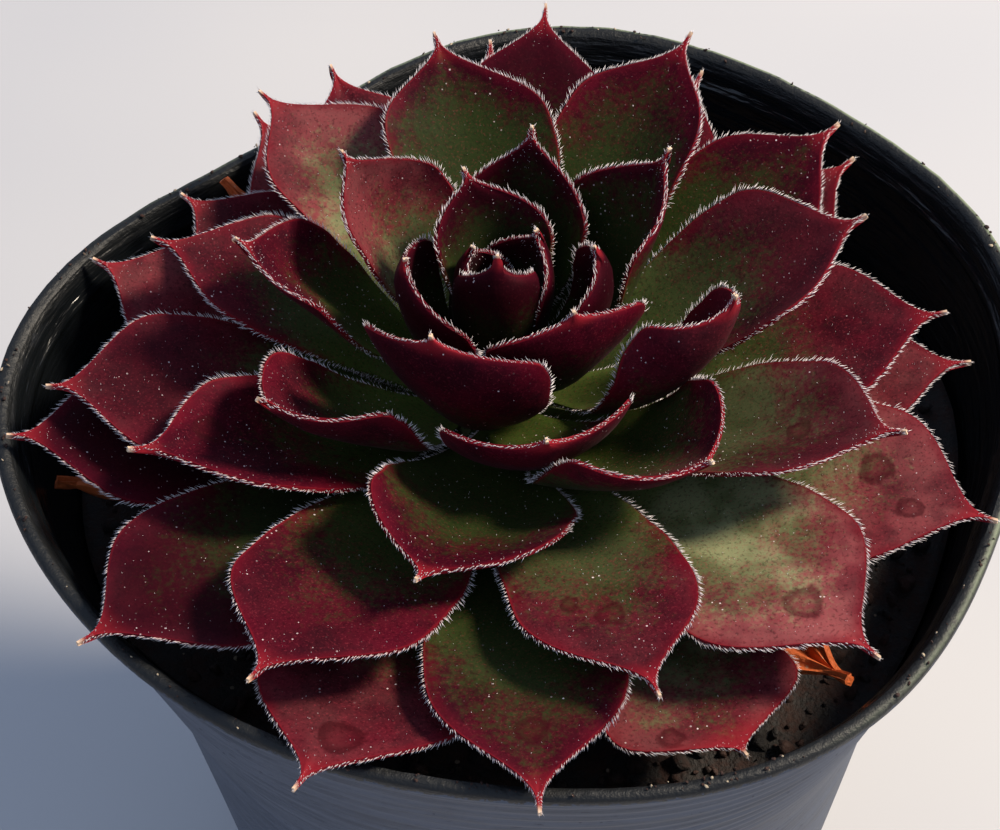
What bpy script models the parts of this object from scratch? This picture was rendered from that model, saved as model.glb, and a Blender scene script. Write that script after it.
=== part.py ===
"""A houseleek in a soft plastic nursery pot: pot, soil, stem, leaves and the heart of the rosette.

Metres, +Z up. The origin is the middle of the pot's base, on the surface that it stands on.
+Y is the back of the plant and +X its right, as it is usually looked at.
"""

from math import cos, pi, radians, sin
from typing import NamedTuple

import bmesh
import bpy
import numpy as np

MM = 0.001

POT_HEIGHT = 76 * MM
POT_TOP_RADIUS = 45 * MM
POT_SHOULDER = (36 * MM, 46 * MM)
POT_RINGS = (23 * MM, 46 * MM, 61 * MM)
POT_BASE_RADIUS = 29 * MM
POT_WALL = 0.8 * MM
POT_FLOOR = 1.2 * MM
LIP_FLARE = 0.7 * MM
LIP_HEIGHT = 2 * MM
POT_SIDES = 48
RIM_WAVES = ((2, 1.75 * MM, 35), (3, 1.8 * MM, -54), (4, 0.9 * MM, 5), (5, 0.9 * MM, 20))

DRAIN_HOLES = 6
DRAIN_RING = 17 * MM
DRAIN_RADIUS = 3 * MM

GAP = 0.3 * MM
SOIL_TOP = POT_HEIGHT - 13 * MM
SOIL_RINGS = (0.16, 0.3, 0.5, 0.7, 0.86)
SOIL_LUMP = 0.7 * MM

AXIS = (-3.5 * MM, 2 * MM)
STEM_SIDES = 16
STEM_FOOT = SOIL_TOP - 12 * MM
STEM_CLEAR = 0.4 * MM

FOOT_RADIUS = (6.0 * MM, 1.5 * MM)
FOOT_HEIGHT = (POT_HEIGHT - 9.5 * MM, POT_HEIGHT + 2 * MM)

FOOT_SHARE = 0.17
TIP_TAPER = (3.0, 3.0)
LEAF_EDGE = 0.7 * MM
LEAF_TIP_HALF = 0.3 * MM
BELLY_PLACE = (0.0, 0.15, 0.4, 0.8, 1.0)
DRY_RIPPLE = 0.45 * MM
BELLY = (0.3 * MM, 0.45 * MM, 1.0 * MM, 0.6 * MM, 0.1 * MM)
TIP_BEND = 1.2
HANDLE = 0.38
STATIONS = (0.0, 0.12, 0.25, 0.38, 0.5, 0.6, 0.7, 0.79, 0.87, 0.935, 1.0)
ACROSS = (-1.0, -0.55, 0.0, 0.55, 1.0)

HEART_CORE = (2.2 * MM, 1.2 * MM)
HEART_CORE_Z = (POT_HEIGHT + 1.2 * MM, POT_HEIGHT + 9 * MM)
STEM_TOP = HEART_CORE_Z[0] - GAP

LEAF_COLOUR = (0.13, 0.012, 0.02, 1.0)
DRY_COLOUR = (0.16, 0.05, 0.025, 1.0)
STEM_COLOUR = (0.12, 0.16, 0.06, 1.0)
SOIL_COLOUR = (0.02, 0.012, 0.008, 1.0)
POT_COLOUR = (0.02, 0.022, 0.026, 1.0)


class Leaf(NamedTuple):
    """One leaf: angles in degrees, lengths in millimetres.

    turn is its direction round the stem from +X, reach how far its tip is from the stem's axis,
    rise the tip's height over the pot's rim, and order its place up the stem, 0 for the lowest.
    bow curls the blade up from foot to tip, cup raises its edges, roll tilts it to one side, sway
    carries its middle sideways, and widest is where along it the blade is widest. A dry leaf is
    thin and crumpled.
    """

    turn: float
    reach: float
    rise: float
    width: float
    order: float
    bow: float = 0.0
    cup: float = 0.0
    roll: float = 0.0
    sway: float = 0.0
    widest: float = 0.68
    dry: bool = False


LOW_LEAVES = (
    Leaf(251, 50.3, 3, 19, 0.00, bow=-3, sway=2),
    Leaf(2, 43.5, -1, 15, 0.00, bow=-5),
    Leaf(128, 38, 3, 13, 0.00),
    Leaf(161, 40, .5, 16, 0.00),
    Leaf(91, 39.5, 3.5, 14, 0.02),
    Leaf(192, 44.5, 1.5, 16, 0.07, bow=-3, sway=1),
    Leaf(297, 46, -2, 17.5, 0.04, bow=-6, sway=-1, widest=0.84),
    Leaf(35, 41.5, 3, 14, 0.05),
    Leaf(336, 47.5, 2, 19, 0.11, bow=-8),
    Leaf(148, 35, 3.5, 15, 0.11, bow=-3),
    Leaf(223, 48, 2.5, 18, 0.14, bow=-9, sway=1.5),
    Leaf(274, 50, 3, 17, 0.16, bow=-10),
    Leaf(59, 38.5, 5.5, 14, 0.15),
    Leaf(188, 40.5, 4, 17, 0.22, bow=-8),
    Leaf(2, 40.5, 6, 17, 0.20, bow=-5),
    Leaf(116, 36.5, 6.5, 15, 0.21, bow=-1),
)
MIDDLE_LEAVES = (
    Leaf(312, 47.5, 4, 19, 0.23, bow=-10),
    Leaf(243, 44.5, 7, 18, 0.24, bow=-8, sway=1.5),
    Leaf(163, 33, 7, 13.5, 0.30, bow=-5, cup=0.3, sway=-1.6, widest=0.62),
    Leaf(35, 39, 9, 15, 0.28, bow=-3),
    Leaf(83, 39, 9, 15, 0.30, bow=-.5),
    Leaf(207, 35.5, 8, 15.5, 0.33, bow=-5, cup=0.3, roll=4, sway=1.8, widest=0.6),
    Leaf(288, 43, 6.5, 15.5, 0.33, bow=-9, sway=-0.4),
    Leaf(131, 34, 10, 15, 0.38, cup=0.3, sway=-3),
    Leaf(335, 38.5, 10.5, 16, 0.39, cup=0.3, roll=-6, sway=-0.5),
    Leaf(59, 35.5, 13, 14, 0.39, bow=3, cup=0.5, sway=1),
    Leaf(13, 34, 12, 16, 0.47, cup=0.5),
    Leaf(258, 32, 9.5, 18, 0.43, bow=-2, cup=0.5, roll=-8, sway=2.5),
    Leaf(101, 31, 13, 16, 0.47, bow=3, cup=0.3, sway=-2),
    Leaf(216, 25, 13, 16, 0.52, bow=11, cup=0.7, roll=15, sway=0.8, widest=0.66),
    Leaf(311, 27.5, 12, 18.6, 0.55, bow=13, cup=0.85, roll=-3, sway=-1.2, widest=0.74),
)
UPPER_LEAVES = (
    Leaf(175, 23, 15, 13, 0.61, bow=10, cup=0.5, roll=14, sway=-1.6, widest=0.68),
    Leaf(282, 20, 13.5, 18, 0.65, bow=22, cup=0.35, sway=0.5, widest=0.76),
    Leaf(340, 21.5, 18, 13, 0.72, bow=29, cup=1.2, roll=-28, sway=-1.6, widest=0.72),
    Leaf(142, 17.5, 17, 13, 0.70, bow=10, cup=0.5, sway=-1.5, widest=0.66),
    Leaf(28, 17, 20, 14, 0.77, bow=14, cup=0.9, sway=-0.3, widest=0.6),
    Leaf(246, 13.5, 18.5, 17, 0.73, bow=27, cup=0.05, roll=6, sway=2, widest=0.78),
    Leaf(75, 12, 19, 13.2, 0.84, bow=10, cup=0.3, sway=-0.4, widest=0.58),
    Leaf(309, 10.3, 16.7, 15.4, 0.81, bow=25, cup=-0.3, roll=-16, sway=0.5, widest=0.74),
)
HEART_LEAVES = (
    Leaf(111, 8, 18, 13.2, 0.99, bow=-1, cup=0.1, sway=-1, widest=0.56),
    Leaf(197, 8, 17, 14.4, 0.88, bow=18, cup=0.1, widest=0.6),
    Leaf(353, 8.2, 17, 10, 0.92, bow=36, cup=0.5, widest=0.64),
    Leaf(35, 4, 15.5, 10.2, 0.93, bow=12, widest=0.56),
    Leaf(272, 1.8, 17, 13, 0.93, bow=14, cup=-0.2, widest=0.51),
    Leaf(158, 2, 15, 9.4, 0.95, bow=12, widest=0.56),
)
DRY_LEAVES = (
    Leaf(192, 40.8, -6, 9, -0.12, bow=7, cup=0.8, roll=6, dry=True),
    Leaf(314, 43.6, -5, 10, -0.12, bow=7, cup=0.7, dry=True),
    Leaf(285, 38, -5, 9, -0.12, bow=7, cup=0.8, roll=-6, dry=True),
    Leaf(138.5, 35, 0.5, 6, -0.12, bow=16, cup=0.3, sway=-1, dry=True),
)


def clear_scene():
    """Remove every object that the file opened with."""
    for obj in list(bpy.data.objects):
        bpy.data.objects.remove(obj, do_unlink=True)


def make_material(name, colour, roughness):
    """A plain Principled material."""
    material = bpy.data.materials.new(name)
    material.use_nodes = True
    shader = material.node_tree.nodes["Principled BSDF"]
    shader.inputs["Base Color"].default_value = colour
    shader.inputs["Roughness"].default_value = roughness
    shader.inputs["Metallic"].default_value = 0.0
    return material


def make_object(name, bm, material):
    """Turn a closed bmesh into a named object, with its faces turned outwards."""
    bmesh.ops.recalc_face_normals(bm, faces=bm.faces)
    mesh = bpy.data.meshes.new(name)
    bm.to_mesh(mesh)
    bm.free()
    obj = bpy.data.objects.new(name, mesh)
    obj.data.materials.append(material)
    bpy.context.scene.collection.objects.link(obj)
    return obj


def bridge_rings(bm, lower, upper):
    """Join two rings of equally many vertices by triangles that all lean the same way."""
    count = len(lower)
    for k in range(count):
        n = (k + 1) % count
        bm.faces.new((lower[k], lower[n], upper[n]))
        bm.faces.new((lower[k], upper[n], upper[k]))


def close_ring(bm, ring, point):
    """Close a ring with a fan of triangles round one point."""
    middle = bm.verts.new(point)
    for k in range(len(ring)):
        bm.faces.new((ring[k], ring[(k + 1) % len(ring)], middle))


def rim_offset(angle, height):
    """How far the soft pot is pushed out of round, at an angle and a height."""
    wave = sum(size * cos(order * (angle - radians(turn))) for order, size, turn in RIM_WAVES)
    return wave * (height / POT_HEIGHT) ** 2


def wall_radius(height):
    """The pot's outer radius at a height, below its lip."""
    shoulder_radius, shoulder_height = POT_SHOULDER
    heights = (0.0, shoulder_height, POT_HEIGHT)
    radii = (POT_BASE_RADIUS, shoulder_radius, POT_TOP_RADIUS)
    return float(np.interp(height, heights, radii))


def pot_ring(bm, radius, height, centre=(0.0, 0.0)):
    """A ring of vertices that follows the pot's out-of-round section."""
    ring = []
    for k in range(POT_SIDES):
        angle = 2 * pi * k / POT_SIDES
        r = radius + rim_offset(angle, height)
        ring.append(bm.verts.new((centre[0] + r * cos(angle), centre[1] + r * sin(angle), height)))
    return ring


def build_pot(material):
    """The pot: a thin tapered wall with a small lip, a flat floor and drain holes."""
    lip_start = POT_HEIGHT - LIP_HEIGHT
    outer = [(wall_radius(z), z) for z in (0.0, *POT_RINGS, lip_start)]
    lip = [
        (POT_TOP_RADIUS + LIP_FLARE, POT_HEIGHT - LIP_HEIGHT / 3),
        (POT_TOP_RADIUS + LIP_FLARE / 2, POT_HEIGHT),
        (POT_TOP_RADIUS - POT_WALL / 2, POT_HEIGHT),
    ]
    inner = [(wall_radius(z) - POT_WALL, z) for z in (lip_start, *reversed(POT_RINGS), POT_FLOOR)]
    bm = bmesh.new()
    rings = [pot_ring(bm, radius, height) for radius, height in outer + lip + inner]
    for lower, upper in zip(rings, rings[1:]):
        bridge_rings(bm, lower, upper)
    close_ring(bm, rings[0], (0.0, 0.0, 0.0))
    close_ring(bm, rings[-1], (0.0, 0.0, POT_FLOOR))
    pot = make_object("pot", bm, material)
    for k in range(DRAIN_HOLES):
        cut_drain_hole(pot, 2 * pi * (k + 0.5) / DRAIN_HOLES, k)
    return pot


def cut_drain_hole(pot, angle, number):
    """Cut one round drain hole through the floor."""
    bm = bmesh.new()
    bmesh.ops.create_cone(
        bm,
        cap_ends=True,
        segments=12,
        radius1=DRAIN_RADIUS,
        radius2=DRAIN_RADIUS,
        depth=4 * POT_FLOOR,
    )
    cutter = make_object(f"drain_cutter_{number}", bm, pot.data.materials[0])
    cutter.location = (DRAIN_RING * cos(angle), DRAIN_RING * sin(angle), POT_FLOOR / 2)
    cutter.hide_render = True
    cutter.display_type = "WIRE"
    cut = pot.modifiers.new(f"Drain hole {number}", "BOOLEAN")
    cut.operation = "DIFFERENCE"
    cut.solver = "MANIFOLD"
    cut.object = cutter


def stem_radius(height):
    """The stem's radius at a height: it stays just inside the feet of the leaves."""
    foot_radius = np.interp(height, FOOT_HEIGHT, FOOT_RADIUS)
    return float(foot_radius) - STEM_CLEAR


def axis_ring(bm, radius, height, sides):
    """A round ring of vertices about the rosette's axis."""
    ring = []
    for k in range(sides):
        angle = 2 * pi * k / sides
        ring.append(bm.verts.new((AXIS[0] + radius * cos(angle), AXIS[1] + radius * sin(angle), height)))
    return ring


def soil_height(angle, share):
    """The lumpy top of the soil at an angle and a share of the radius."""
    lump = sin(3 * angle + 1.3) * sin(7 * share + 0.4) + 0.6 * sin(8 * angle - 11 * share)
    return SOIL_TOP + SOIL_LUMP * lump * min(1.0, 4 * (1 - share) + 0.4)


def build_soil(material):
    """The soil: it fills the pot with a small gap, and has a plain blind hole for the stem."""
    clear = POT_WALL + GAP
    bm = bmesh.new()
    hole_radius = stem_radius(SOIL_TOP) + GAP
    levels = (POT_FLOOR + GAP, *POT_RINGS, SOIL_TOP)
    rings = [pot_ring(bm, wall_radius(z) - clear, z) for z in levels]
    top_radius = wall_radius(SOIL_TOP) - clear
    hole = axis_ring(bm, hole_radius, SOIL_TOP, POT_SIDES)
    for share in reversed(SOIL_RINGS):
        ring = []
        for k in range(POT_SIDES):
            angle = 2 * pi * k / POT_SIDES
            edge = top_radius + rim_offset(angle, SOIL_TOP)
            outer = np.array((edge * cos(angle), edge * sin(angle)))
            inner = np.array(hole[k].co[:2])
            x, y = inner + (outer - inner) * share
            ring.append(bm.verts.new((x, y, soil_height(angle, share))))
        rings.append(ring)
    rings.append(hole)
    rings.append(axis_ring(bm, hole_radius, STEM_FOOT - GAP, POT_SIDES))
    # from the top down, so that these triangles lean as those inside the pot do
    for lower, upper in zip(rings, rings[1:]):
        bridge_rings(bm, upper, lower)
    close_ring(bm, rings[0], (0.0, 0.0, levels[0]))
    close_ring(bm, rings[-1], (AXIS[0], AXIS[1], STEM_FOOT - GAP))
    return make_object("soil", bm, material)


def build_stem(material):
    """The short stem that carries the leaves, from its root in the soil to the heart."""
    bm = bmesh.new()
    heights = (STEM_FOOT, FOOT_HEIGHT[0], (FOOT_HEIGHT[0] + STEM_TOP) / 2, STEM_TOP)
    rings = [axis_ring(bm, stem_radius(z), z, STEM_SIDES) for z in heights]
    for lower, upper in zip(rings, rings[1:]):
        bridge_rings(bm, lower, upper)
    close_ring(bm, rings[0], (AXIS[0], AXIS[1], heights[0]))
    close_ring(bm, rings[-1], (AXIS[0], AXIS[1], heights[-1]))
    return make_object("stem", bm, material)


def leaf_foot(order):
    """The radius and height at which a leaf of this order leaves the stem."""
    radius = float(np.interp(order, (0, 1), FOOT_RADIUS))
    height = FOOT_HEIGHT[0] + order * (FOOT_HEIGHT[1] - FOOT_HEIGHT[0])
    return np.array((radius, height))


def midrib(leaf, t):
    """The midrib's radius and height at t, 0 at the foot and 1 at the tip, and its direction."""
    start = leaf_foot(leaf.order)
    end = np.array((leaf.reach * MM, POT_HEIGHT + leaf.rise * MM))
    chord = end - start
    slope = np.arctan2(chord[1], chord[0])
    first = slope - radians(leaf.bow)
    last = slope + radians(leaf.bow) * TIP_BEND
    arm = HANDLE * np.linalg.norm(chord)
    one = start + arm * np.array((cos(first), sin(first)))
    two = end - arm * np.array((cos(last), sin(last)))
    u = 1 - t
    point = u**3 * start + 3 * u * u * t * one + 3 * u * t * t * two + t**3 * end
    along = u * u * (one - start) + 2 * u * t * (two - one) + t * t * (end - two)
    return point, along / np.linalg.norm(along)


def half_width(leaf, t):
    """Half the blade's width at t: narrow foot, widest past the middle, drawn-out sharp tip."""
    rising = FOOT_SHARE + (1 - FOOT_SHARE) * sin(pi / 2 * min(t / leaf.widest, 1.0)) ** 1.42
    falling = (1 - max(0.0, (t - leaf.widest) / (1 - leaf.widest)) ** TIP_TAPER[0]) ** TIP_TAPER[1]
    return max(leaf.width * MM / 2 * rising * falling, LEAF_TIP_HALF)


def crumple(leaf, t, v):
    """How far a dried-up blade is pushed up or down at t and at v across it."""
    if not leaf.dry:
        return 0.0
    return DRY_RIPPLE * min(1.0, 2 * t) * sin(12 * t + 1.7 * v + leaf.turn)


def ease(value):
    """A smooth step from 0 to 1."""
    share = min(1.0, max(0.0, value))
    return share * share * (3 - 2 * share)


def section_bend(leaf, t, radius, climb):
    """How sharply the blade bends across its width at t, as one over a radius in metres."""
    round_stem = max(0.0, climb) / max(radius, 2.5 * MM)
    return round_stem + 2 * leaf.cup * ease((t - 0.2) / 0.6) / (leaf.width * MM)


def leaf_section(leaf, t):
    """The points across the blade at t, upper side left to right, then lower side back."""
    (radius, height), (level, climb) = midrib(leaf, t)
    turn = radians(leaf.turn)
    outward = np.array((cos(turn), sin(turn), 0.0))
    sideways = np.array((-sin(turn), cos(turn), 0.0))
    upward = np.array((0.0, 0.0, 1.0))
    normal = level * upward - climb * outward
    roll = radians(leaf.roll) * min(1.0, t / 0.7)
    across = sideways * cos(roll) + normal * sin(roll)
    normal = normal * cos(roll) - sideways * sin(roll)
    centre = np.array((AXIS[0], AXIS[1], 0.0)) + radius * outward + height * upward
    centre += leaf.sway * MM * sin(pi * t) * sideways
    bend = max(section_bend(leaf, t, radius, climb), 1e-3)
    belly = 0.0 if leaf.dry else np.interp(t, BELLY_PLACE, BELLY)
    upper = []
    lower = []
    for v in ACROSS:
        angle = bend * v * half_width(leaf, t)
        point = centre + (sin(angle) * across + (1 - cos(angle)) * normal) / bend
        point += crumple(leaf, t, v) * upward
        inward = cos(angle) * normal - sin(angle) * across
        upper.append(point)
        lower.append(point - (LEAF_EDGE + belly * (1 - v * v)) * inward)
    return upper + lower[::-1]


def leaf_mesh(leaf):
    """A closed blade, split into triangles alike on both faces."""
    bm = bmesh.new()
    rings = [[bm.verts.new(p) for p in leaf_section(leaf, t)] for t in STATIONS]
    count = len(rings[0])
    half = len(ACROSS)
    for lower, upper in zip(rings, rings[1:]):
        for k in range(count):
            n = (k + 1) % count
            if k < half:
                bm.faces.new((lower[k], lower[n], upper[n]))
                bm.faces.new((lower[k], upper[n], upper[k]))
            else:
                bm.faces.new((lower[k], lower[n], upper[k]))
                bm.faces.new((lower[n], upper[n], upper[k]))
    for ring in (rings[0], rings[-1]):
        for k in range(half - 1):
            top, next_top = ring[k], ring[k + 1]
            under, next_under = ring[count - 1 - k], ring[count - 2 - k]
            bm.faces.new((top, next_top, next_under))
            bm.faces.new((top, next_under, under))
    return bm


def build_leaves(material, dry_material):
    """Every leaf of the open rosette, from the lowest up, and the dried-up ones under it."""
    leaves = LOW_LEAVES + MIDDLE_LEAVES + UPPER_LEAVES
    for number, leaf in enumerate(leaves, start=1):
        make_object(f"leaf_{number:02d}", leaf_mesh(leaf), material)
    for number, leaf in enumerate(DRY_LEAVES, start=1):
        make_object(f"dry_leaf_{number}", leaf_mesh(leaf), dry_material)


def build_heart(material):
    """The tight heart of the rosette: its young leaves grown together round a small core."""
    bm = bmesh.new()
    rings = [axis_ring(bm, r, z, STEM_SIDES) for r, z in zip(HEART_CORE, HEART_CORE_Z)]
    bridge_rings(bm, rings[0], rings[1])
    close_ring(bm, rings[0], (AXIS[0], AXIS[1], HEART_CORE_Z[0]))
    close_ring(bm, rings[1], (AXIS[0], AXIS[1], HEART_CORE_Z[1]))
    heart = make_object("rosette_heart", bm, material)
    young = bpy.data.collections.new("Young leaves")
    bpy.context.scene.collection.children.link(young)
    for number, leaf in enumerate(HEART_LEAVES):
        blade = make_object(f"young_leaf_{number}", leaf_mesh(leaf), material)
        bpy.context.scene.collection.objects.unlink(blade)
        young.objects.link(blade)
    join = heart.modifiers.new("Young leaves", "BOOLEAN")
    join.operation = "UNION"
    join.operand_type = "COLLECTION"
    join.collection = young
    bpy.context.view_layer.objects.active = heart
    bpy.ops.object.modifier_apply(modifier=join.name)
    for blade in list(young.objects):
        bpy.data.objects.remove(blade, do_unlink=True)
    bpy.data.collections.remove(young)
    return heart


def main():
    """Build every piece."""
    clear_scene()
    leaf_skin = make_material("Houseleek leaf", LEAF_COLOUR, 0.6)
    build_pot(make_material("Black nursery plastic", POT_COLOUR, 0.55))
    build_soil(make_material("Potting soil", SOIL_COLOUR, 0.95))
    build_stem(make_material("Stem", STEM_COLOUR, 0.7))
    build_leaves(leaf_skin, make_material("Dry leaf", DRY_COLOUR, 0.85))
    build_heart(leaf_skin)


main()
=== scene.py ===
"""A potted houseleek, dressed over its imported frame.

Each leaf of the rosette is a fine blade in the place of its CAD node, with soft hairs along its
edges. The pot, the soil and the heart are finer pieces of the same form too. Lengths in the leaf
tables are millimetres and angles are degrees; everything else is in metres. Colours are linear.
"""

import logging
from dataclasses import dataclass, field
from enum import Enum
from math import cos, pi, radians, sin

import bpy
import numpy as np
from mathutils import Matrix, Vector, noise


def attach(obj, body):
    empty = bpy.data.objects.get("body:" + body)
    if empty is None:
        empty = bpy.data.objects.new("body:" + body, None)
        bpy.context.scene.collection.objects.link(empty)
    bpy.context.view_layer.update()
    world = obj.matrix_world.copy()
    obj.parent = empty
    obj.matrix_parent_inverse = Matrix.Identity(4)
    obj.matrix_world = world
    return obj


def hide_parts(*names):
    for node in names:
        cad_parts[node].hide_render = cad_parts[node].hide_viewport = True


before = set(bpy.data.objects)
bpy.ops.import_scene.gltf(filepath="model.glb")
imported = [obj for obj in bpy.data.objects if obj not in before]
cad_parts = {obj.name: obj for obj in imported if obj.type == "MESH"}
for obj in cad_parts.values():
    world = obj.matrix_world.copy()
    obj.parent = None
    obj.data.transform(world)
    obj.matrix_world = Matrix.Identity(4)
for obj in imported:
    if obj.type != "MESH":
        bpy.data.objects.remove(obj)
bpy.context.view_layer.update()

LOG = logging.getLogger("houseleek")
MM = 0.001
UP = np.array((0.0, 0.0, 1.0))

Array = np.ndarray
Draws = np.random.Generator
Material = bpy.types.Material
Piece = bpy.types.Object
Socket = bpy.types.NodeSocket
Triple = tuple[float, float, float]
Colour = Triple
Span = tuple[float, float]

POT_HEIGHT = 76 * MM
ROSETTE_AXIS = (-3.5 * MM, 2 * MM)
SOIL_LEVEL = POT_HEIGHT - 13 * MM

FOOT_RADIUS = (6.0 * MM, 1.5 * MM)
FOOT_HEIGHT = (POT_HEIGHT - 9.5 * MM, POT_HEIGHT + 2 * MM)
FOOT_SHARE = 0.17
TIP_TAPER = (3.0, 3.0)
CUSP_SHARE = 0.045
HANDLE = 0.38
TIP_BEND = 1.2


class LeafStage(Enum):
    """How far up the rosette a leaf grows."""

    LOW = "low"
    MIDDLE = "middle"
    UPPER = "upper"
    DRY = "dry"


class LeafFace(Enum):
    """Which face of a leaf a finish is for."""

    UPPER = "upper"
    UNDER = "under"


# Node sheets


class Signal:
    """A socket of a node sheet. Plain arithmetic on it adds the nodes that work it out."""

    def __init__(self, sheet: "NodeSheet", socket: Socket) -> None:
        """Keep the sheet and the socket."""
        self.sheet = sheet
        self.socket = socket

    def __add__(self, other: object) -> "Signal":
        """The sum."""
        return self.sheet.math("ADD", self, other)

    def __radd__(self, other: float) -> "Signal":
        """The sum with a number."""
        return self.sheet.math("ADD", other, self)

    def __sub__(self, other: object) -> "Signal":
        """The difference."""
        return self.sheet.math("SUBTRACT", self, other)

    def __rsub__(self, other: float) -> "Signal":
        """The difference from a number."""
        return self.sheet.math("SUBTRACT", other, self)

    def __mul__(self, other: object) -> "Signal":
        """The product."""
        return self.sheet.math("MULTIPLY", self, other)

    def __pow__(self, other: float) -> "Signal":
        """The power."""
        return self.sheet.math("POWER", self, other)

    def larger(self, other: object) -> "Signal":
        """The larger of the two."""
        return self.sheet.math("MAXIMUM", self, other)

    def below(self, other: object) -> "Signal":
        """1 where it is less than the other, 0 elsewhere."""
        return self.sheet.math("LESS_THAN", self, other)

    def clamped(self) -> "Signal":
        """The same sum, kept between 0 and 1."""
        self.socket.node.use_clamp = True
        return self

    def step(self, low: float, high: float, to_low: float = 0.0, to_high: float = 1.0) -> "Signal":
        """A smooth step.

        Args:
            low: where the step starts.
            high: where it ends.
            to_low: the result before the step.
            to_high: the result after it.

        Returns:
            The result.
        """
        node = self.sheet.add("ShaderNodeMapRange", interpolation_type="SMOOTHSTEP")
        values = {"Value": self, "From Min": low, "From Max": high, "To Min": to_low, "To Max": to_high}
        for name, value in values.items():
            self.sheet.join(value, node.inputs[name])
        return Signal(self.sheet, node.outputs["Result"])

    def blend(self, first: object, second: object) -> "Signal":
        """A colour mix.

        Args:
            first: the colour or signal where this one is 0.
            second: the colour or signal where it is 1.

        Returns:
            The mixed colour.
        """
        node = self.sheet.add("ShaderNodeMix", data_type="RGBA")
        for place, value in (("Factor", self), (6, first), (7, second)):
            self.sheet.join(value, node.inputs[place])
        return Signal(self.sheet, node.outputs[2])

    def parts(self) -> tuple["Signal", ...]:
        """The red, green and blue of a colour.

        Returns:
            The three numbers' signals.
        """
        node = self.sheet.add("ShaderNodeSeparateColor")
        self.sheet.join(self, node.inputs[0])
        return tuple(Signal(self.sheet, output) for output in node.outputs)


class NodeSheet:
    """A node tree, and place, the coordinates that its patterns read."""

    place: Signal

    def __init__(self, tree: bpy.types.NodeTree) -> None:
        """Keep the tree."""
        self.tree = tree

    def add(self, kind: str, **settings: object) -> bpy.types.Node:
        """Add a node.

        Args:
            kind: the node's class name.
            settings: attributes of the node to set.

        Returns:
            The new node.
        """
        node = self.tree.nodes.new(kind)
        for name, value in settings.items():
            setattr(node, name, value)
        return node

    def join(self, source: object, target: Socket) -> None:
        """Link a signal to a socket, or set the socket to a plain number, vector or colour.

        Args:
            source: the signal or the plain value.
            target: the socket.
        """
        if isinstance(source, Signal):
            self.tree.links.new(source.socket, target)
        else:
            target.default_value = (*source, 1.0) if target.type == "RGBA" else source

    def math(self, operation: str, first: object, second: object) -> Signal:
        """A sum of two values.

        Args:
            operation: the math node's operation.
            first: its first number or signal.
            second: its second number or signal.

        Returns:
            The result.
        """
        node = self.add("ShaderNodeMath", operation=operation)
        self.join(first, node.inputs[0])
        self.join(second, node.inputs[1])
        return Signal(self, node.outputs[0])

    def attribute(self, name: str, output: str = "Color") -> Signal:
        """What the mesh stores under a name."""
        return Signal(self, self.add("ShaderNodeAttribute", attribute_name=name).outputs[output])

    def speckle(self, scale: object, detail: float, rough: float, where: Signal | None = None) -> Signal:
        """A noise value.

        Args:
            scale: the noise's scale, in cycles a metre.
            detail: its octaves.
            rough: its roughness.
            where: the coordinates, where they aren't the sheet's own.

        Returns:
            The noise, 0 to 1.
        """
        node = self.add("ShaderNodeTexNoise")
        values = {"Vector": where or self.place, "Scale": scale, "Detail": detail, "Roughness": rough}
        for name, value in values.items():
            self.join(value, node.inputs[name])
        return Signal(self, node.outputs["Fac"])

    def group(self, name: str, **values: object) -> dict[str, Signal]:
        """Place a shared group.

        Args:
            name: the group's name.
            values: what its inputs get. Place is the sheet's own where none is given.

        Returns:
            The group's outputs by name.
        """
        node = self.add("ShaderNodeGroup", node_tree=SharedGroups.built[name])
        for title, value in ({"Place": self.place} | values).items():
            self.join(value, node.inputs[title])
        return {output.name: Signal(self, output) for output in node.outputs}


class MaterialSheet(NodeSheet):
    """The node sheet of a Principled material, whose patterns read Object coordinates."""

    def __init__(self, name: str) -> None:
        """Start the material.

        Args:
            name: the material's name.
        """
        self.material = bpy.data.materials.new(name)
        self.material.use_nodes = True
        super().__init__(self.material.node_tree)
        self.shader = self.tree.nodes["Principled BSDF"]
        self.place = Signal(self, self.add("ShaderNodeTexCoord").outputs["Object"])

    def stretched(self, scale: Triple) -> Signal:
        """The coordinates, stretched along each axis.

        Args:
            scale: how much finer a pattern gets along X, Y and Z.

        Returns:
            The coordinates.
        """
        node = self.add("ShaderNodeMapping")
        self.join(scale, node.inputs["Scale"])
        self.join(self.place, node.inputs["Vector"])
        return Signal(self, node.outputs["Vector"])

    def bump(self, height: Signal, strength: float, depth: float) -> None:
        """Give the surface its fine relief.

        Args:
            height: the relief.
            strength: how strongly it shows.
            depth: how deep a height of 1 is.
        """
        node = self.add("ShaderNodeBump")
        for name, value in (("Strength", strength), ("Distance", depth), ("Height", height)):
            self.join(value, node.inputs[name])
        self.join(Signal(self, node.outputs["Normal"]), self.shader.inputs["Normal"])

    def finish(self, **values: object) -> Material:
        """Set the shader's sockets.

        Args:
            values: what each gets, with _ for a space in its name.

        Returns:
            The material.
        """
        for name, value in values.items():
            self.join(value, self.shader.inputs[name.replace("_", " ")])
        return self.material


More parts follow.
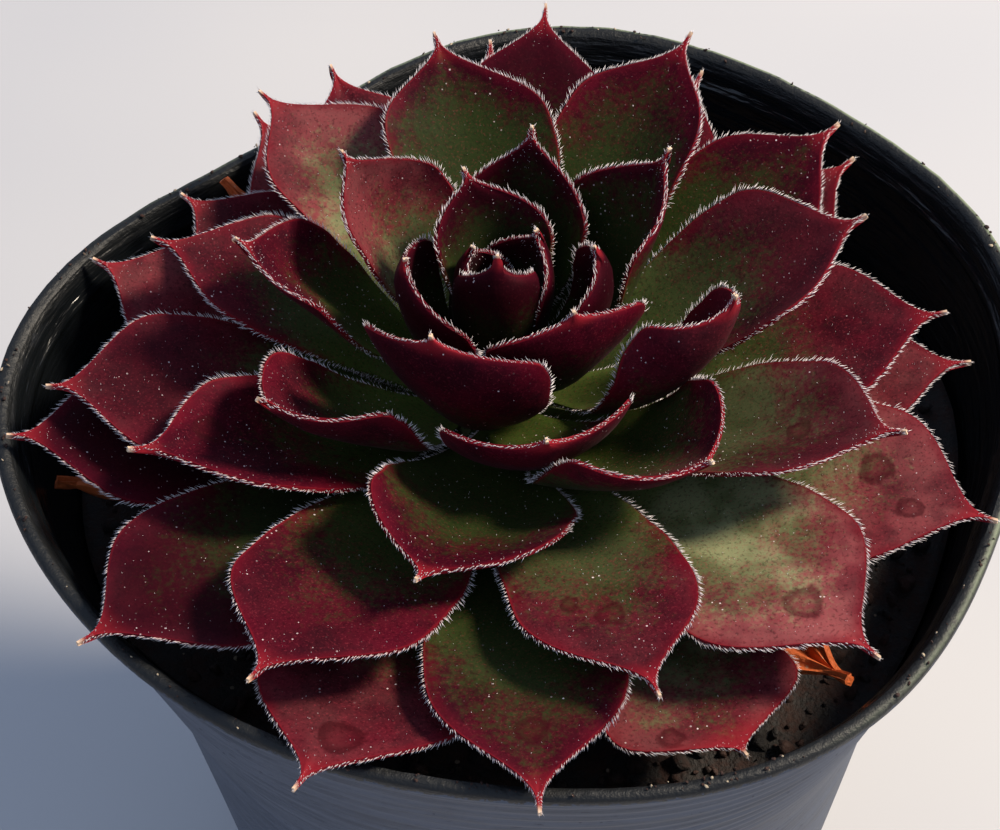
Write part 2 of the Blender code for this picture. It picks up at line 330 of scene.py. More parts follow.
class SharedGroups:
    """The shader groups that more than one finish uses, each built once."""

    built: dict[str, bpy.types.ShaderNodeTree] = {}

    @classmethod
    def open(cls, name: str, **inputs: object) -> tuple[NodeSheet, list[Signal]]:
        """Start a group whose pattern reads its first input, Place.

        Args:
            name: the group's name.
            inputs: the default number or colour of each further input.

        Returns:
            The group's sheet and its further inputs.
        """
        tree = bpy.data.node_groups.new(name, "ShaderNodeTree")
        tree.interface.new_socket("Place", in_out="INPUT", socket_type="NodeSocketVector")
        for title, value in inputs.items():
            plain = isinstance(value, float)
            kind = "NodeSocketFloat" if plain else "NodeSocketColor"
            socket = tree.interface.new_socket(title, in_out="INPUT", socket_type=kind)
            socket.default_value = value if plain else (*value, 1.0)
        cls.built[name] = tree
        sheet = NodeSheet(tree)
        start = sheet.add("NodeGroupInput").outputs
        sheet.place = Signal(sheet, start["Place"])
        return sheet, [Signal(sheet, start[title]) for title in inputs]

    @classmethod
    def close(cls, sheet: NodeSheet, **outputs: Signal) -> None:
        """Give a group its outputs.

        Args:
            sheet: the group's sheet.
            outputs: each output's signal; Colour is a colour, and the rest are numbers.
        """
        for title in outputs:
            kind = "NodeSocketColor" if title == "Colour" else "NodeSocketFloat"
            sheet.tree.interface.new_socket(title, in_out="OUTPUT", socket_type=kind)
        end = sheet.add("NodeGroupOutput")
        for title, signal in outputs.items():
            sheet.join(signal, end.inputs[title])

    @classmethod
    def build(cls) -> None:
        """Build every shared group."""
        cls.build_mottle()
        cls.build_grains()
        cls.build_dust()

    @classmethod
    def build_mottle(cls) -> None:
        """Two colours that drift into each other in patches of two sizes."""
        defaults = {"Colour": (0.5, 0.5, 0.5), "Patch": (0.3, 0.3, 0.3), "Scale": 200.0, "Amount": 0.5}
        sheet, (colour, patch, scale, amount) = cls.open("Mottle", **defaults)
        both = sheet.speckle(scale, 3.0, 0.55) * 0.65 + sheet.speckle(scale * 4.7, 2.0, 0.6) * 0.35
        mask = (both.step(0.4, 0.62) * amount).clamped()
        cls.close(sheet, Colour=mask.blend(colour, patch), Mask=mask)

    @classmethod
    def build_grains(cls) -> None:
        """Tiny round grains, of which only a share shows."""
        sheet, (scale, size, share) = cls.open("Grains", Scale=1000.0, Size=0.2, Share=0.2)
        cell = sheet.add("ShaderNodeTexVoronoi")
        sheet.join(sheet.place, cell.inputs["Vector"])
        sheet.join(scale, cell.inputs["Scale"])
        chance, bulk, _ = Signal(sheet, cell.outputs["Color"]).parts()
        near = Signal(sheet, cell.outputs["Distance"]).below(size * (bulk + 0.35))
        cls.close(sheet, Mask=near * chance.below(share))

    @classmethod
    def build_dust(cls) -> None:
        """Pale dust that settles in blotches, with a fine grain of its own."""
        sheet, (scale, cover) = cls.open("Dust", Scale=120.0, Cover=0.5)
        drift = sheet.speckle(scale, 4.0, 0.65)
        grit = sheet.speckle(2600.0, 1.0, 0.5)
        cls.close(sheet, Mask=(drift + (cover - 0.5) + (grit - 0.5) * 0.5).step(0.38, 0.68))


# Finishes


@dataclass(frozen=True)
class LeafReads:
    """What a leaf's finish reads: places and tones that the blade stores, and a slow noise."""

    along: Signal
    across: Signal
    stain: Signal
    rim: Signal
    green: Signal
    pale: Signal
    # dark: the leaf's darkness, partly its own colour and partly painted shade.
    dark: Signal
    wander: Signal

    @classmethod
    def read(cls, sheet: MaterialSheet, scale: float) -> "LeafReads":
        """Read them.

        Args:
            sheet: the material's sheet.
            scale: the slow noise's scale.

        Returns:
            What was read.
        """
        along, across, stain = sheet.attribute("spot").parts()
        rim = sheet.attribute("spot", "Alpha")
        wander = sheet.speckle(scale, 3.0, 0.6)
        return cls(along, across, stain, rim, *sheet.attribute("tone").parts(), wander)


@dataclass(frozen=True)
class FleshFinish:
    """The matt, finely downy skin of a living leaf, green at its foot and dark red towards its tip."""

    face: LeafFace
    red: Colour
    deep_red: Colour
    foot_green: Colour
    dark_green: Colour
    pale_green: Colour
    pale_red: Colour
    # The red rim along the edge, brightened in part as a painted glow of light shining through it.
    margin_red_and_glow: Colour = (0.18, 0.007, 0.014)
    edge_red_and_glow: Colour = (0.12, 0.003, 0.011)
    shade: Colour = (0.008, 0.01, 0.004)
    red_shade: Colour = (0.016, 0.001, 0.003)
    stain: Colour = (0.06, 0.003, 0.007)
    stain_ring: Colour = (0.02, 0.003, 0.004)
    cusp: Colour = (0.28, 0.014, 0.022)
    freckle: Colour = (0.3, 0.035, 0.05)
    cream: Colour = (0.78, 0.6, 0.42)
    # Near-white glands: their own pale colour with a painted glint on them.
    gland_white_and_glint: Colour = (0.95, 0.8, 0.8)
    wander_scale: float = 260.0
    stipple_scale: float = 1900.0
    patch_scale: float = 150.0
    cloud_scale: float = 170.0
    pore_scale: float = 3300.0
    freckle_scale: float = 4600.0
    gland_scales: Span = (1500.0, 2900.0)
    drift_scale: float = 230.0
    down_scale: float = 3600.0
    dent_scale: float = 480.0
    skin_depth: float = 0.16 * MM
    green_lift: float = 0.0
    roughness: float = 0.56
    refraction: float = 1.25
    gloss: float = 0.14
    sheen: float = 0.02
    sheen_tint: Colour = (1.0, 0.7, 0.75)

    def build(self) -> Material:
        """The material, which reads the leaf's attributes.

        Returns:
            The material.
        """
        sheet = MaterialSheet(f"Leaf flesh, {self.face.value} face")
        leaf = LeafReads.read(sheet, self.wander_scale)
        colour, red_share = self.skin(sheet, leaf)
        blot = leaf.stain.step(0.06, 0.2)
        ring = leaf.stain.step(0.04, 0.2) * leaf.stain.step(0.62, 0.3)
        colour = (blot * 0.4).blend(colour, self.stain)
        colour = (ring * 0.42).blend(colour, self.stain_ring)
        colour = self.edges(colour, leaf, red_share)
        glands = self.glands(sheet)
        down = sheet.speckle(self.down_scale, 2.0, 0.6)
        dents = sheet.speckle(self.dent_scale, 2.0, 0.55)
        sheet.bump(down * 0.28 + dents * 1.2 + blot * 0.22, 0.5, self.skin_depth)
        return sheet.finish(
            # The glands are painted near white: their own pale colour and a painted glint of light.
            Base_Color=(glands * 0.75).blend(colour, self.gland_white_and_glint),
            Roughness=self.roughness + (leaf.wander - 0.5) * 0.3 - blot * 0.1 - glands * 0.2,
            IOR=self.refraction,
            Specular_IOR_Level=self.gloss,
            Sheen_Weight=self.sheen,
            Sheen_Roughness=0.35,
            Sheen_Tint=self.sheen_tint,
        )

    def skin(self, sheet: MaterialSheet, leaf: LeafReads) -> tuple[Signal, Signal]:
        """The skin's colour, from green foot to red end, bleached, darkened by the leaf's dark, which is
        partly painted shade, and finely stippled.

        Args:
            sheet: the material's sheet.
            leaf: what it reads.

        Returns:
            The colour and the share of red.
        """
        stipple = sheet.speckle(self.stipple_scale, 2.0, 0.6)
        reach = leaf.along + (leaf.wander - 0.5) * 0.34 + (stipple - 0.5) * 0.42 + leaf.across**2.0 * 0.2
        red_share = (reach - leaf.green).step(self.green_lift - 0.08, self.green_lift + 0.2)
        red = sheet.group("Mottle", Colour=self.red, Patch=self.deep_red, Scale=self.patch_scale, Amount=0.9)
        # Partly painted shade: a dark leaf's red turns deep red and its green turns dark green.
        red_skin = (leaf.dark * 0.95).clamped().blend(red["Colour"], self.deep_red)
        green_skin = leaf.along.step(0.25, 0.6).blend(self.foot_green, self.dark_green)
        green_skin = (leaf.dark * 1.2).clamped().blend(green_skin, self.dark_green)
        colour = red_share.blend(green_skin, red_skin)
        clouds = sheet.speckle(self.cloud_scale, 3.0, 0.55).step(0.32, 0.66).step(0.0, 1.0, 0.35, 1.0)
        colour = (leaf.pale * clouds * 0.85).blend(colour, red_share.blend(self.pale_green, self.pale_red))
        # Painted shade: the middle of a dark leaf turns to the shade colour; the pores take the same colour.
        shaded = leaf.dark * (1 - leaf.across.step(0.5, 0.98)) * (1 - leaf.along.step(0.82, 1.0))
        shadow = red_share.blend(self.shade, self.red_shade)
        colour = (shaded * 0.85).blend(colour, shadow)
        pores = sheet.speckle(self.pore_scale, 2.0, 0.65).step(0.5, 0.7)
        colour = (pores * 0.5).blend(colour, shadow)
        freckles = sheet.speckle(self.freckle_scale, 2.0, 0.65).step(0.54, 0.72)
        return (freckles * leaf.dark.step(0.1, 0.8, 0.36, 0.06)).blend(colour, self.freckle), red_share

    def edges(self, colour: Signal, leaf: LeafReads, red_share: Signal) -> Signal:
        """Redden the leaf towards its edge, partly its own red rim and partly a painted glow of light
        through it, with a thin bright line along it, likewise part painted glow, and a pale point.

        Args:
            colour: the skin's colour.
            leaf: what the finish reads.
            red_share: the share of red in the skin.

        Returns:
            The colour.
        """
        # Partly the leaf's own red rim and partly a painted glow of light through the thin edge, weaker on
        # dark leaves.
        zone = leaf.rim.step(0.4, 0.05) * leaf.wander.step(0.38, 0.66, 0.15, 0.7)
        colour = (zone * red_share * leaf.dark.step(0.2, 0.8, 1.0, 0.35)).blend(colour, self.edge_red_and_glow)
        # A thin bright line along the very edge: its own red with a painted glow on it.
        line = (leaf.rim + leaf.wander * 0.09).step(0.115, 0.045) * leaf.along.step(0.3, 0.62)
        colour = (line * leaf.dark.step(0.3, 0.8, 0.8, 0.35)).blend(colour, self.margin_red_and_glow)
        colour = leaf.along.step(0.9, 0.975, 0.0, 0.7).blend(colour, self.cusp)
        return leaf.along.step(0.982, 1.0, 0.0, 0.85).blend(colour, self.cream)

    def glands(self, sheet: MaterialSheet) -> Signal:
        """The mask of the tiny glands, in loose drifts, painted near white: partly their own pale colour and
        partly a painted glint.

        Args:
            sheet: the material's sheet.

        Returns:
            The mask.
        """
        large = sheet.group("Grains", Scale=self.gland_scales[0], Size=0.12, Share=0.11)["Mask"]
        small = sheet.group("Grains", Scale=self.gland_scales[1], Size=0.2, Share=0.13)["Mask"]
        drifts = sheet.speckle(self.drift_scale, 3.0, 0.6).step(0.5, 0.62)
        return large.larger(small * 0.7) * drifts.larger(0.06)


@dataclass(frozen=True)
class HairFinish:
    """The glassy white of the hairs along the leaves' edges."""

    colour: Colour = (0.84, 0.79, 0.82)
    root: Colour = (0.42, 0.14, 0.14)
    worn: Colour = (0.5, 0.38, 0.38)
    roughness: float = 0.4
    sheen: float = 0.3

    def build(self) -> Material:
        """The material, redder at each hair's root.

        Returns:
            The material.
        """
        sheet = MaterialSheet("Leaf hair")
        whole = sheet.speckle(900.0, 2.0, 0.5).step(0.3, 0.7, 0.75, 1.0)
        colour = sheet.attribute("tip", "Fac").step(0.0, 0.4).blend(self.root, self.colour)
        colour = whole.blend(self.worn, colour)
        rough = self.roughness + whole * 0.1
        return sheet.finish(Base_Color=colour, Roughness=rough, Sheen_Weight=self.sheen)


@dataclass(frozen=True)
class DryLeafFinish:
    """The brown, papery skin of a leaf that has dried up."""

    brown: Colour = (0.17, 0.045, 0.02)
    rust: Colour = (0.5, 0.1, 0.02)
    dark: Colour = (0.04, 0.012, 0.008)
    dust: Colour = (0.4, 0.3, 0.22)

    def build(self) -> Material:
        """The material.

        Returns:
            The material.
        """
        sheet = MaterialSheet("Dry leaf")
        base = sheet.group("Mottle", Colour=self.brown, Patch=self.dark, Scale=380.0, Amount=0.9)
        colour = sheet.attribute("spot").parts()[0].step(0.55, 0.95).blend(base["Colour"], self.rust)
        grain = sheet.group("Grains", Scale=1500.0, Size=0.3, Share=0.12)["Mask"]
        sheet.bump(sheet.speckle(1500.0, 3.0, 0.7), 0.8, 0.25 * MM)
        rough = base["Mask"].step(0.0, 1.0, 0.7, 0.9)
        return sheet.finish(Base_Color=(grain * 0.5).blend(colour, self.dust), Roughness=rough)


@dataclass(frozen=True)
class StemFinish:
    """The dull green stem, scarred where old leaves dropped."""

    green: Colour = (0.09, 0.11, 0.035)
    brown: Colour = (0.06, 0.03, 0.015)

    def build(self) -> Material:
        """The material.

        Returns:
            The material.
        """
        sheet = MaterialSheet("Stem skin")
        skin = sheet.group("Mottle", Colour=self.green, Patch=self.brown, Scale=450.0, Amount=1.0)
        sheet.bump(sheet.speckle(900.0, 3.0, 0.6), 0.6, 0.3 * MM)
        return sheet.finish(Base_Color=skin["Colour"], Roughness=skin["Mask"].step(0.0, 1.0, 0.55, 0.85))


@dataclass(frozen=True)
class SoilFinish:
    """Dark damp crumbs, a few rusty and a few pale."""

    dark: Colour = (0.005, 0.003, 0.0025)
    brown: Colour = (0.03, 0.01, 0.006)
    pale: Colour = (0.42, 0.34, 0.24)

    def build(self) -> Material:
        """The material, which reads each crumb's own tone.

        Returns:
            The material.
        """
        sheet = MaterialSheet("Potting soil")
        tone = sheet.attribute("crumb", "Fac")
        base = sheet.group("Mottle", Colour=self.dark, Patch=self.brown, Scale=420.0, Amount=0.8)
        colour = tone.step(0.45, 0.85).blend(base["Colour"], self.brown)
        colour = tone.step(0.975, 0.985).blend(colour, self.pale)
        grain = sheet.group("Grains", Scale=1300.0, Size=0.3, Share=0.02)["Mask"]
        sheet.bump(sheet.speckle(1700.0, 3.0, 0.65), 0.9, 0.4 * MM)
        rough = base["Mask"].step(0.0, 1.0, 0.75, 0.95)
        return sheet.finish(Base_Color=(grain * 0.4).blend(colour, self.pale), Roughness=rough)


@dataclass(frozen=True)
class PotFinish:
    """Soft black plastic, glossy inside, hazed grey and streaked outside, the haze tinted blue as a painted
    sky reflection, ragged with grit at its rim, with a pale line along the rim's top painted as lit on its
    back right side.
    """

    black: Colour = (0.004, 0.005, 0.006)
    # The outer haze: grey dust, tinted blue as a painted reflection of the sky.
    haze: Colour = (0.082, 0.098, 0.135)
    haze_deep: Colour = (0.04, 0.05, 0.074)
    mark: Colour = (0.012, 0.015, 0.032)
    # Pale crust along the rim's top, shown only where the rim is lit: painted light.
    rim_crust_and_painted_light: Colour = (0.26, 0.31, 0.2)
    streaks: Triple = (1.0, 1.0, 9.0)
    gloss: float = 0.42

    def build(self) -> Material:
        """The material, which reads the wall attribute.

        Returns:
            The material.
        """
        sheet = MaterialSheet("Weathered black plastic")
        outside, rim, line = sheet.attribute("wall").parts()
        bands = sheet.stretched(self.streaks)
        teeth = sheet.speckle(1300.0, 3.0, 0.7)
        cover = outside * (1 - (rim + (teeth - 0.5) * 1.5).step(0.55, 0.65))
        # Dust haze outside, its blue partly a painted sky reflection.
        haze = sheet.group("Dust", Place=bands, Scale=85.0, Cover=0.56)["Mask"]
        colour = cover.blend(self.black, haze.blend(self.haze_deep, self.haze))
        scuffs = sheet.group("Grains", Place=bands, Scale=520.0, Size=0.26, Share=0.2)["Mask"]
        pits = sheet.group("Grains", Scale=1700.0, Size=0.26, Share=0.1)["Mask"]
        marks = scuffs.larger(pits) * cover
        drifts = sheet.speckle(60.0, 3.0, 0.6, bands).step(0.4, 0.6, 0.25, 1.0)
        colour = (marks * drifts * 0.75).blend(colour, self.mark)
        # Painted light, in part: the pale crust line along the rim's top, only on its lit side.
        pale = sheet.group("Dust", Scale=520.0, Cover=0.66)["Mask"] * line
        rough = 0.17 + cover * 0.33 + haze * cover * 0.15 + pale.larger(rim) * 0.4
        ripples = sheet.speckle(130.0, 3.0, 0.55, bands) * (1.6 - outside)
        sheet.bump(ripples + teeth * rim * 0.9 - marks * 0.35, 0.6, 0.35 * MM)
        colour = (pale * 0.9).blend(colour, self.rim_crust_and_painted_light)
        return sheet.finish(Base_Color=colour, Roughness=rough.clamped(), Specular_IOR_Level=self.gloss)


@dataclass(frozen=True)
class FloorFinish:
    """A plain pale tabletop, with faint soft clouds in it."""

    colour: Colour = (0.56, 0.555, 0.56)
    cloud: Colour = (0.5, 0.505, 0.53)

    def build(self) -> Material:
        """The material.

        Returns:
            The material.
        """
        sheet = MaterialSheet("Pale tabletop")
        colour = sheet.speckle(9.0, 2.0, 0.5).step(0.3, 0.7).blend(self.colour, self.cloud)
        return sheet.finish(Base_Color=colour, Roughness=0.7, Specular_IOR_Level=0.2)


@dataclass(frozen=True)
class Finishes:
    """Every finish, built as materials."""

    upper_face: Material
    under_face: Material
    hair: Material
    dry: Material
    stem: Material
    soil: Material
    pot: Material
    floor: Material

    @classmethod
    def build(cls) -> "Finishes":
        """Build the shared groups and then each finish.

        Returns:
            The finishes.
        """
        SharedGroups.build()
        upper = FleshFinish(
            face=LeafFace.UPPER,
            red=(0.1, 0.002, 0.012),
            deep_red=(0.026, 0.001, 0.006),
            foot_green=(0.09, 0.14, 0.022),
            dark_green=(0.026, 0.042, 0.009),
            pale_green=(0.3, 0.31, 0.16),
            pale_red=(0.3, 0.085, 0.085),
        )
        under = FleshFinish(
            face=LeafFace.UNDER,
            red=(0.3, 0.014, 0.05),
            deep_red=(0.16, 0.006, 0.028),
            foot_green=(0.12, 0.15, 0.04),
            dark_green=(0.07, 0.075, 0.025),
            pale_green=(0.3, 0.31, 0.16),
            pale_red=(0.34, 0.1, 0.12),
            shade=(0.05, 0.005, 0.012),
            red_shade=(0.05, 0.005, 0.012),
            green_lift=0.2,
            sheen=0.08,
        )
        plain = (HairFinish, DryLeafFinish, StemFinish, SoilFinish, PotFinish, FloorFinish)
        return cls(upper.build(), under.build(), *(finish().build() for finish in plain))


# Modelling helpers


def clear_selection() -> None:
    """Leave edit mode and select nothing."""
    if bpy.context.object and bpy.context.object.mode != "OBJECT":
        bpy.ops.object.mode_set(mode="OBJECT")
    bpy.ops.object.select_all(action="DESELECT")


def only(piece: Piece) -> None:
    """Select one piece alone and make it active.

    Args:
        piece: the piece.
    """
    clear_selection()
    piece.select_set(True)
    bpy.context.view_layer.objects.active = piece


def apply_modifiers(piece: Piece) -> None:
    """Apply every modifier of a piece, in order.

    Args:
        piece: the piece.
    """
    only(piece)
    for modifier in list(piece.modifiers):
        bpy.ops.object.modifier_apply(modifier=modifier.name)


def shade_smooth(piece: Piece, angle: float) -> None:
    """Shade a piece smooth, but for edges sharper than an angle in degrees."""
    only(piece)
    bpy.ops.object.shade_smooth_by_angle(angle=radians(angle))


def coordinates(mesh: bpy.types.Mesh) -> Array:
    """The places of a mesh's vertices, one row each.

    Args:
        mesh: the mesh.

    Returns:
        The places.
    """
    values = np.zeros(len(mesh.vertices) * 3)
    mesh.vertices.foreach_get("co", values)
    return values.reshape(-1, 3)


def move_vertices(mesh: bpy.types.Mesh, places: Array) -> None:
    """Put a mesh's vertices at new places."""
    mesh.vertices.foreach_set("co", places.astype(np.float32).ravel())
    mesh.update()


def paint(mesh: bpy.types.Mesh, name: str, values: Array) -> None:
    """Store a colour or a number at each vertex.

    Args:
        mesh: the mesh.
        name: the attribute's name.
        values: one row of four numbers, or one number, for each vertex.
    """
    if values.ndim == 2:
        layer = mesh.attributes.new(name, "FLOAT_COLOR", "POINT")
        layer.data.foreach_set("color", values.astype(np.float32).ravel())
    else:
        layer = mesh.attributes.new(name, "FLOAT", "POINT")
        layer.data.foreach_set("value", values.astype(np.float32))


def mesh_object(name: str, points: Array, faces: Array) -> Piece:
    """A new object, made of triangles.

    Args:
        name: the object's name.
        points: the places of the vertices.
        faces: three vertex numbers for each triangle.

    Returns:
        The object.
    """
    mesh = bpy.data.meshes.new(name)
    mesh.vertices.add(len(points))
    mesh.vertices.foreach_set("co", points.astype(np.float32).ravel())
    mesh.loops.add(faces.size)
    mesh.loops.foreach_set("vertex_index", faces.astype(np.int32).ravel())
    mesh.polygons.add(len(faces))
    mesh.polygons.foreach_set("loop_start", np.arange(0, faces.size, 3, dtype=np.int32))
    mesh.update(calc_edges=True)
    mesh.validate()
    piece = bpy.data.objects.new(name, mesh)
    bpy.context.scene.collection.objects.link(piece)
    return piece


def dress(piece: Piece, slot: str, node: str | None, *materials: Material) -> None:
    """Finish a piece: its materials, its body and the node that it stands for.

    Args:
        piece: the piece, in place.
        slot: not used.
        node: the CAD node that it replaces, or None.
        materials: its materials, in the order of its faces' numbers.
    """
    if not piece.data.materials:
        for material in materials:
            piece.data.materials.append(material)
    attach(piece, "root")
    if node:
        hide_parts(node)
    LOG.info("%s: %d faces%s", piece.name, len(piece.data.polygons), f", for {node}" if node else "")


def face_outwards(piece: Piece, weld: float = 0.0) -> None:
    """Turn every face of a piece outwards.

    Args:
        piece: the piece.
        weld: how close vertices are welded first, or 0 for none.
    """
    only(piece)
    bpy.ops.object.mode_set(mode="EDIT")
    bpy.ops.mesh.select_all(action="SELECT")
    if weld:
        bpy.ops.mesh.remove_doubles(threshold=weld)
    bpy.ops.mesh.normals_make_consistent(inside=False)
    bpy.ops.object.mode_set(mode="OBJECT")


def unit(rows: Array) -> Array:
    """Each row, scaled to a length of 1."""
    return rows / np.linalg.norm(rows, axis=1)[:, None]


def directions(angle: Array) -> Array:
    """The level direction at each angle, one row each."""
    return np.stack((np.cos(angle), np.sin(angle), angle * 0), 1)


def walk_along(rows: Array, steps: Array, walk: Array) -> Array:
    """What rows of three numbers come to at places between their steps."""
    return np.stack([np.interp(walk, steps, rows[:, k]) for k in range(3)], 1)


def soft_noise(places: Array, scale: float, seed: float) -> Array:
    """Smooth noise at places, about -0.7 to 0.7, for a scale in cycles a metre and a seed."""
    return np.array([noise.noise(Vector((p[0] * scale + seed, p[1] * scale, p[2] * scale))) for p in places])


# Leaves


@dataclass(frozen=True)
class Leaf:
    """One leaf: its place and form, and how green, pale or dark it is.

    turn is its direction round the stem from +X, reach how far its tip is from the stem's axis,
    rise the tip's height over the pot's rim, and order its place up the stem. bow curls the blade
    up from foot to tip, cup raises its edges, roll tilts it, sway carries its middle sideways and
    widest is where along it the blade is widest.
    green is the share of its length that stays green, pale how bleached it is, dark how dark its
    face is, partly its own darker colour and partly painted shade on leaves that lie in shadow and
    in the heart's hollow, and stains are water marks: along, across, radius in millimetres.
    """

    turn: float
    reach: float
    rise: float
    width: float
    order: float
    bow: float = 0.0
    cup: float = 0.0
    roll: float = 0.0
    sway: float = 0.0
    widest: float = 0.68
    green: float = 0.2
    pale: float = 0.0
    dark: float = 0.2
    stains: tuple[Triple, ...] = ()
    stage: LeafStage = LeafStage.LOW

    def half_width(self, t: Array) -> Array:
        """Half the blade's width along it: narrow foot, widest past the middle, drawn-out tip.

        Args:
            t: places along the blade, 0 at the foot and 1 at the tip.

        Returns:
            Half the width at each place.
        """
        rising = FOOT_SHARE + (1 - FOOT_SHARE) * np.sin(pi / 2 * np.minimum(t / self.widest, 1.0)) ** 1.42
        past = np.clip((t - self.widest) / (1 - self.widest), 0.0, 1.0)
        falling = (1 - past ** TIP_TAPER[0]) ** TIP_TAPER[1]
        cusp = CUSP_SHARE * (1 - past ** 4)
        return np.maximum(self.width * MM / 2 * rising * np.maximum(falling, cusp), 0.12 * MM)

    def midrib(self, t: Array) -> tuple[Array, Array]:
        """The midrib in the upright plane through the stem.

        Args:
            t: places along the blade, 0 at the foot and 1 at the tip.

        Returns:
            The radius and height at each place, and the direction there.
        """
        foot_radius = float(np.interp(self.order, (0, 1), FOOT_RADIUS))
        foot_height = FOOT_HEIGHT[0] + self.order * (FOOT_HEIGHT[1] - FOOT_HEIGHT[0])
        start = np.array((foot_radius, foot_height))
        end = np.array((self.reach * MM, POT_HEIGHT + self.rise * MM))
        chord = end - start
        slope = np.arctan2(chord[1], chord[0])
        first = slope - radians(self.bow)
        last = slope + radians(self.bow) * TIP_BEND
        arm = HANDLE * np.linalg.norm(chord)
        one = start + arm * np.array((cos(first), sin(first)))
        two = end - arm * np.array((cos(last), sin(last)))
        t = t[:, None]
        u = 1 - t
        point = u**3 * start + 3 * u * u * t * one + 3 * u * t * t * two + t**3 * end
        along = u * u * (one - start) + 2 * u * t * (two - one) + t * t * (end - two)
        return point, unit(along)

    def surface(self, t: Array, v: Array) -> tuple[Array, Array, Array, Array]:
        """Places on the blade's upper face.

        Args:
            t: places along the blade, 0 at the foot and 1 at the tip.
            v: places across it, -1 and 1 at its edges.

        Returns:
            The points, and at each the face's normal, the way across and the way to the tip.
        """
        level, way = self.midrib(t)
        turn = radians(self.turn)
        outward = np.array((cos(turn), sin(turn), 0.0))
        sideways = np.array((-sin(turn), cos(turn), 0.0))
        normal = way[:, :1] * UP - way[:, 1:] * outward
        forward = way[:, :1] * outward + way[:, 1:] * UP
        roll = (radians(self.roll) * np.minimum(1.0, t / 0.7))[:, None]
        across = sideways * np.cos(roll) + normal * np.sin(roll)
        normal = normal * np.cos(roll) - sideways * np.sin(roll)
        centre = np.array((*ROSETTE_AXIS, 0.0)) + level[:, :1] * outward + level[:, 1:] * UP
        centre += (self.sway * MM * np.sin(pi * t))[:, None] * sideways
        share = np.clip((t - 0.2) / 0.6, 0, 1)
        curl = 2 * self.cup * share * share * (3 - 2 * share) / (self.width * MM)
        bend = np.maximum(np.maximum(0, way[:, 1]) / np.maximum(level[:, 0], 2.5 * MM) + curl, 1e-3)
        angle = (bend * v * self.half_width(t))[:, None]
        point = centre + (np.sin(angle) * across + (1 - np.cos(angle)) * normal) / bend[:, None]
        tilted = np.cos(angle) * normal - np.sin(angle) * across
        side = np.cos(angle) * across + np.sin(angle) * normal
        return point, tilted, side, forward


# In these tables dark is partly the leaf's own darker colour and partly painted shade, raised on leaves that
# lie in shadow.
LOW_LEAVES = (
    Leaf(251, 50.3, 3, 19, 0.00, bow=-3, sway=2, green=0.5, pale=0.25, dark=0.1,
         stains=((0.86, 0.1, 2.2),)),
    Leaf(2, 43.5, -1, 15, 0.00, bow=-5, green=0.2, pale=0.6),
    Leaf(128, 38, 3, 13, 0.00, green=0.2, pale=0.45, dark=0.1),
    Leaf(161, 40, 0.5, 16, 0.00, green=0.3, pale=0.4, dark=0.1),
    Leaf(91, 39.5, 3.5, 14, 0.02, green=0.4, pale=0.2, dark=0.5),
    Leaf(192, 44.5, 1.5, 16, 0.07, bow=-3, sway=1, green=0.4, dark=0.8),
    Leaf(297, 46, -2, 17.5, 0.04, bow=-6, sway=-1, widest=0.84, green=0.74, pale=0.5, dark=0.25,
         stains=((0.9, -0.6, 1.2),)),
    Leaf(35, 41.5, 3, 14, 0.05, green=0.4, pale=0.25),
    Leaf(336, 47.5, 2, 19, 0.11, bow=-8, green=0.62, pale=0.6, dark=0.1,
         stains=((0.74, 0.25, 1.8), (0.84, -0.2, 1.4))),
    Leaf(148, 35, 3.5, 15, 0.11, bow=-3, green=0.4, pale=0.2, dark=0.5),
    Leaf(223, 48, 2.5, 18, 0.14, bow=-9, sway=1.5, green=0.62, pale=0.05, dark=0.75),
    Leaf(274, 50, 3, 17, 0.16, bow=-10, green=0.75, pale=0.05, dark=0.5, stains=((0.83, 0.0, 1.6),)),
    Leaf(59, 38.5, 5.5, 14, 0.15, green=0.4, pale=0.1),
    Leaf(188, 40.5, 4, 17, 0.22, bow=-8, green=0.45, pale=0.15, dark=0.45),
    Leaf(2, 40.5, 6, 17, 0.20, bow=-5, green=0.55, pale=0.15),
    Leaf(116, 36.5, 6.5, 15, 0.21, bow=-1, green=0.4, pale=0.2),
)
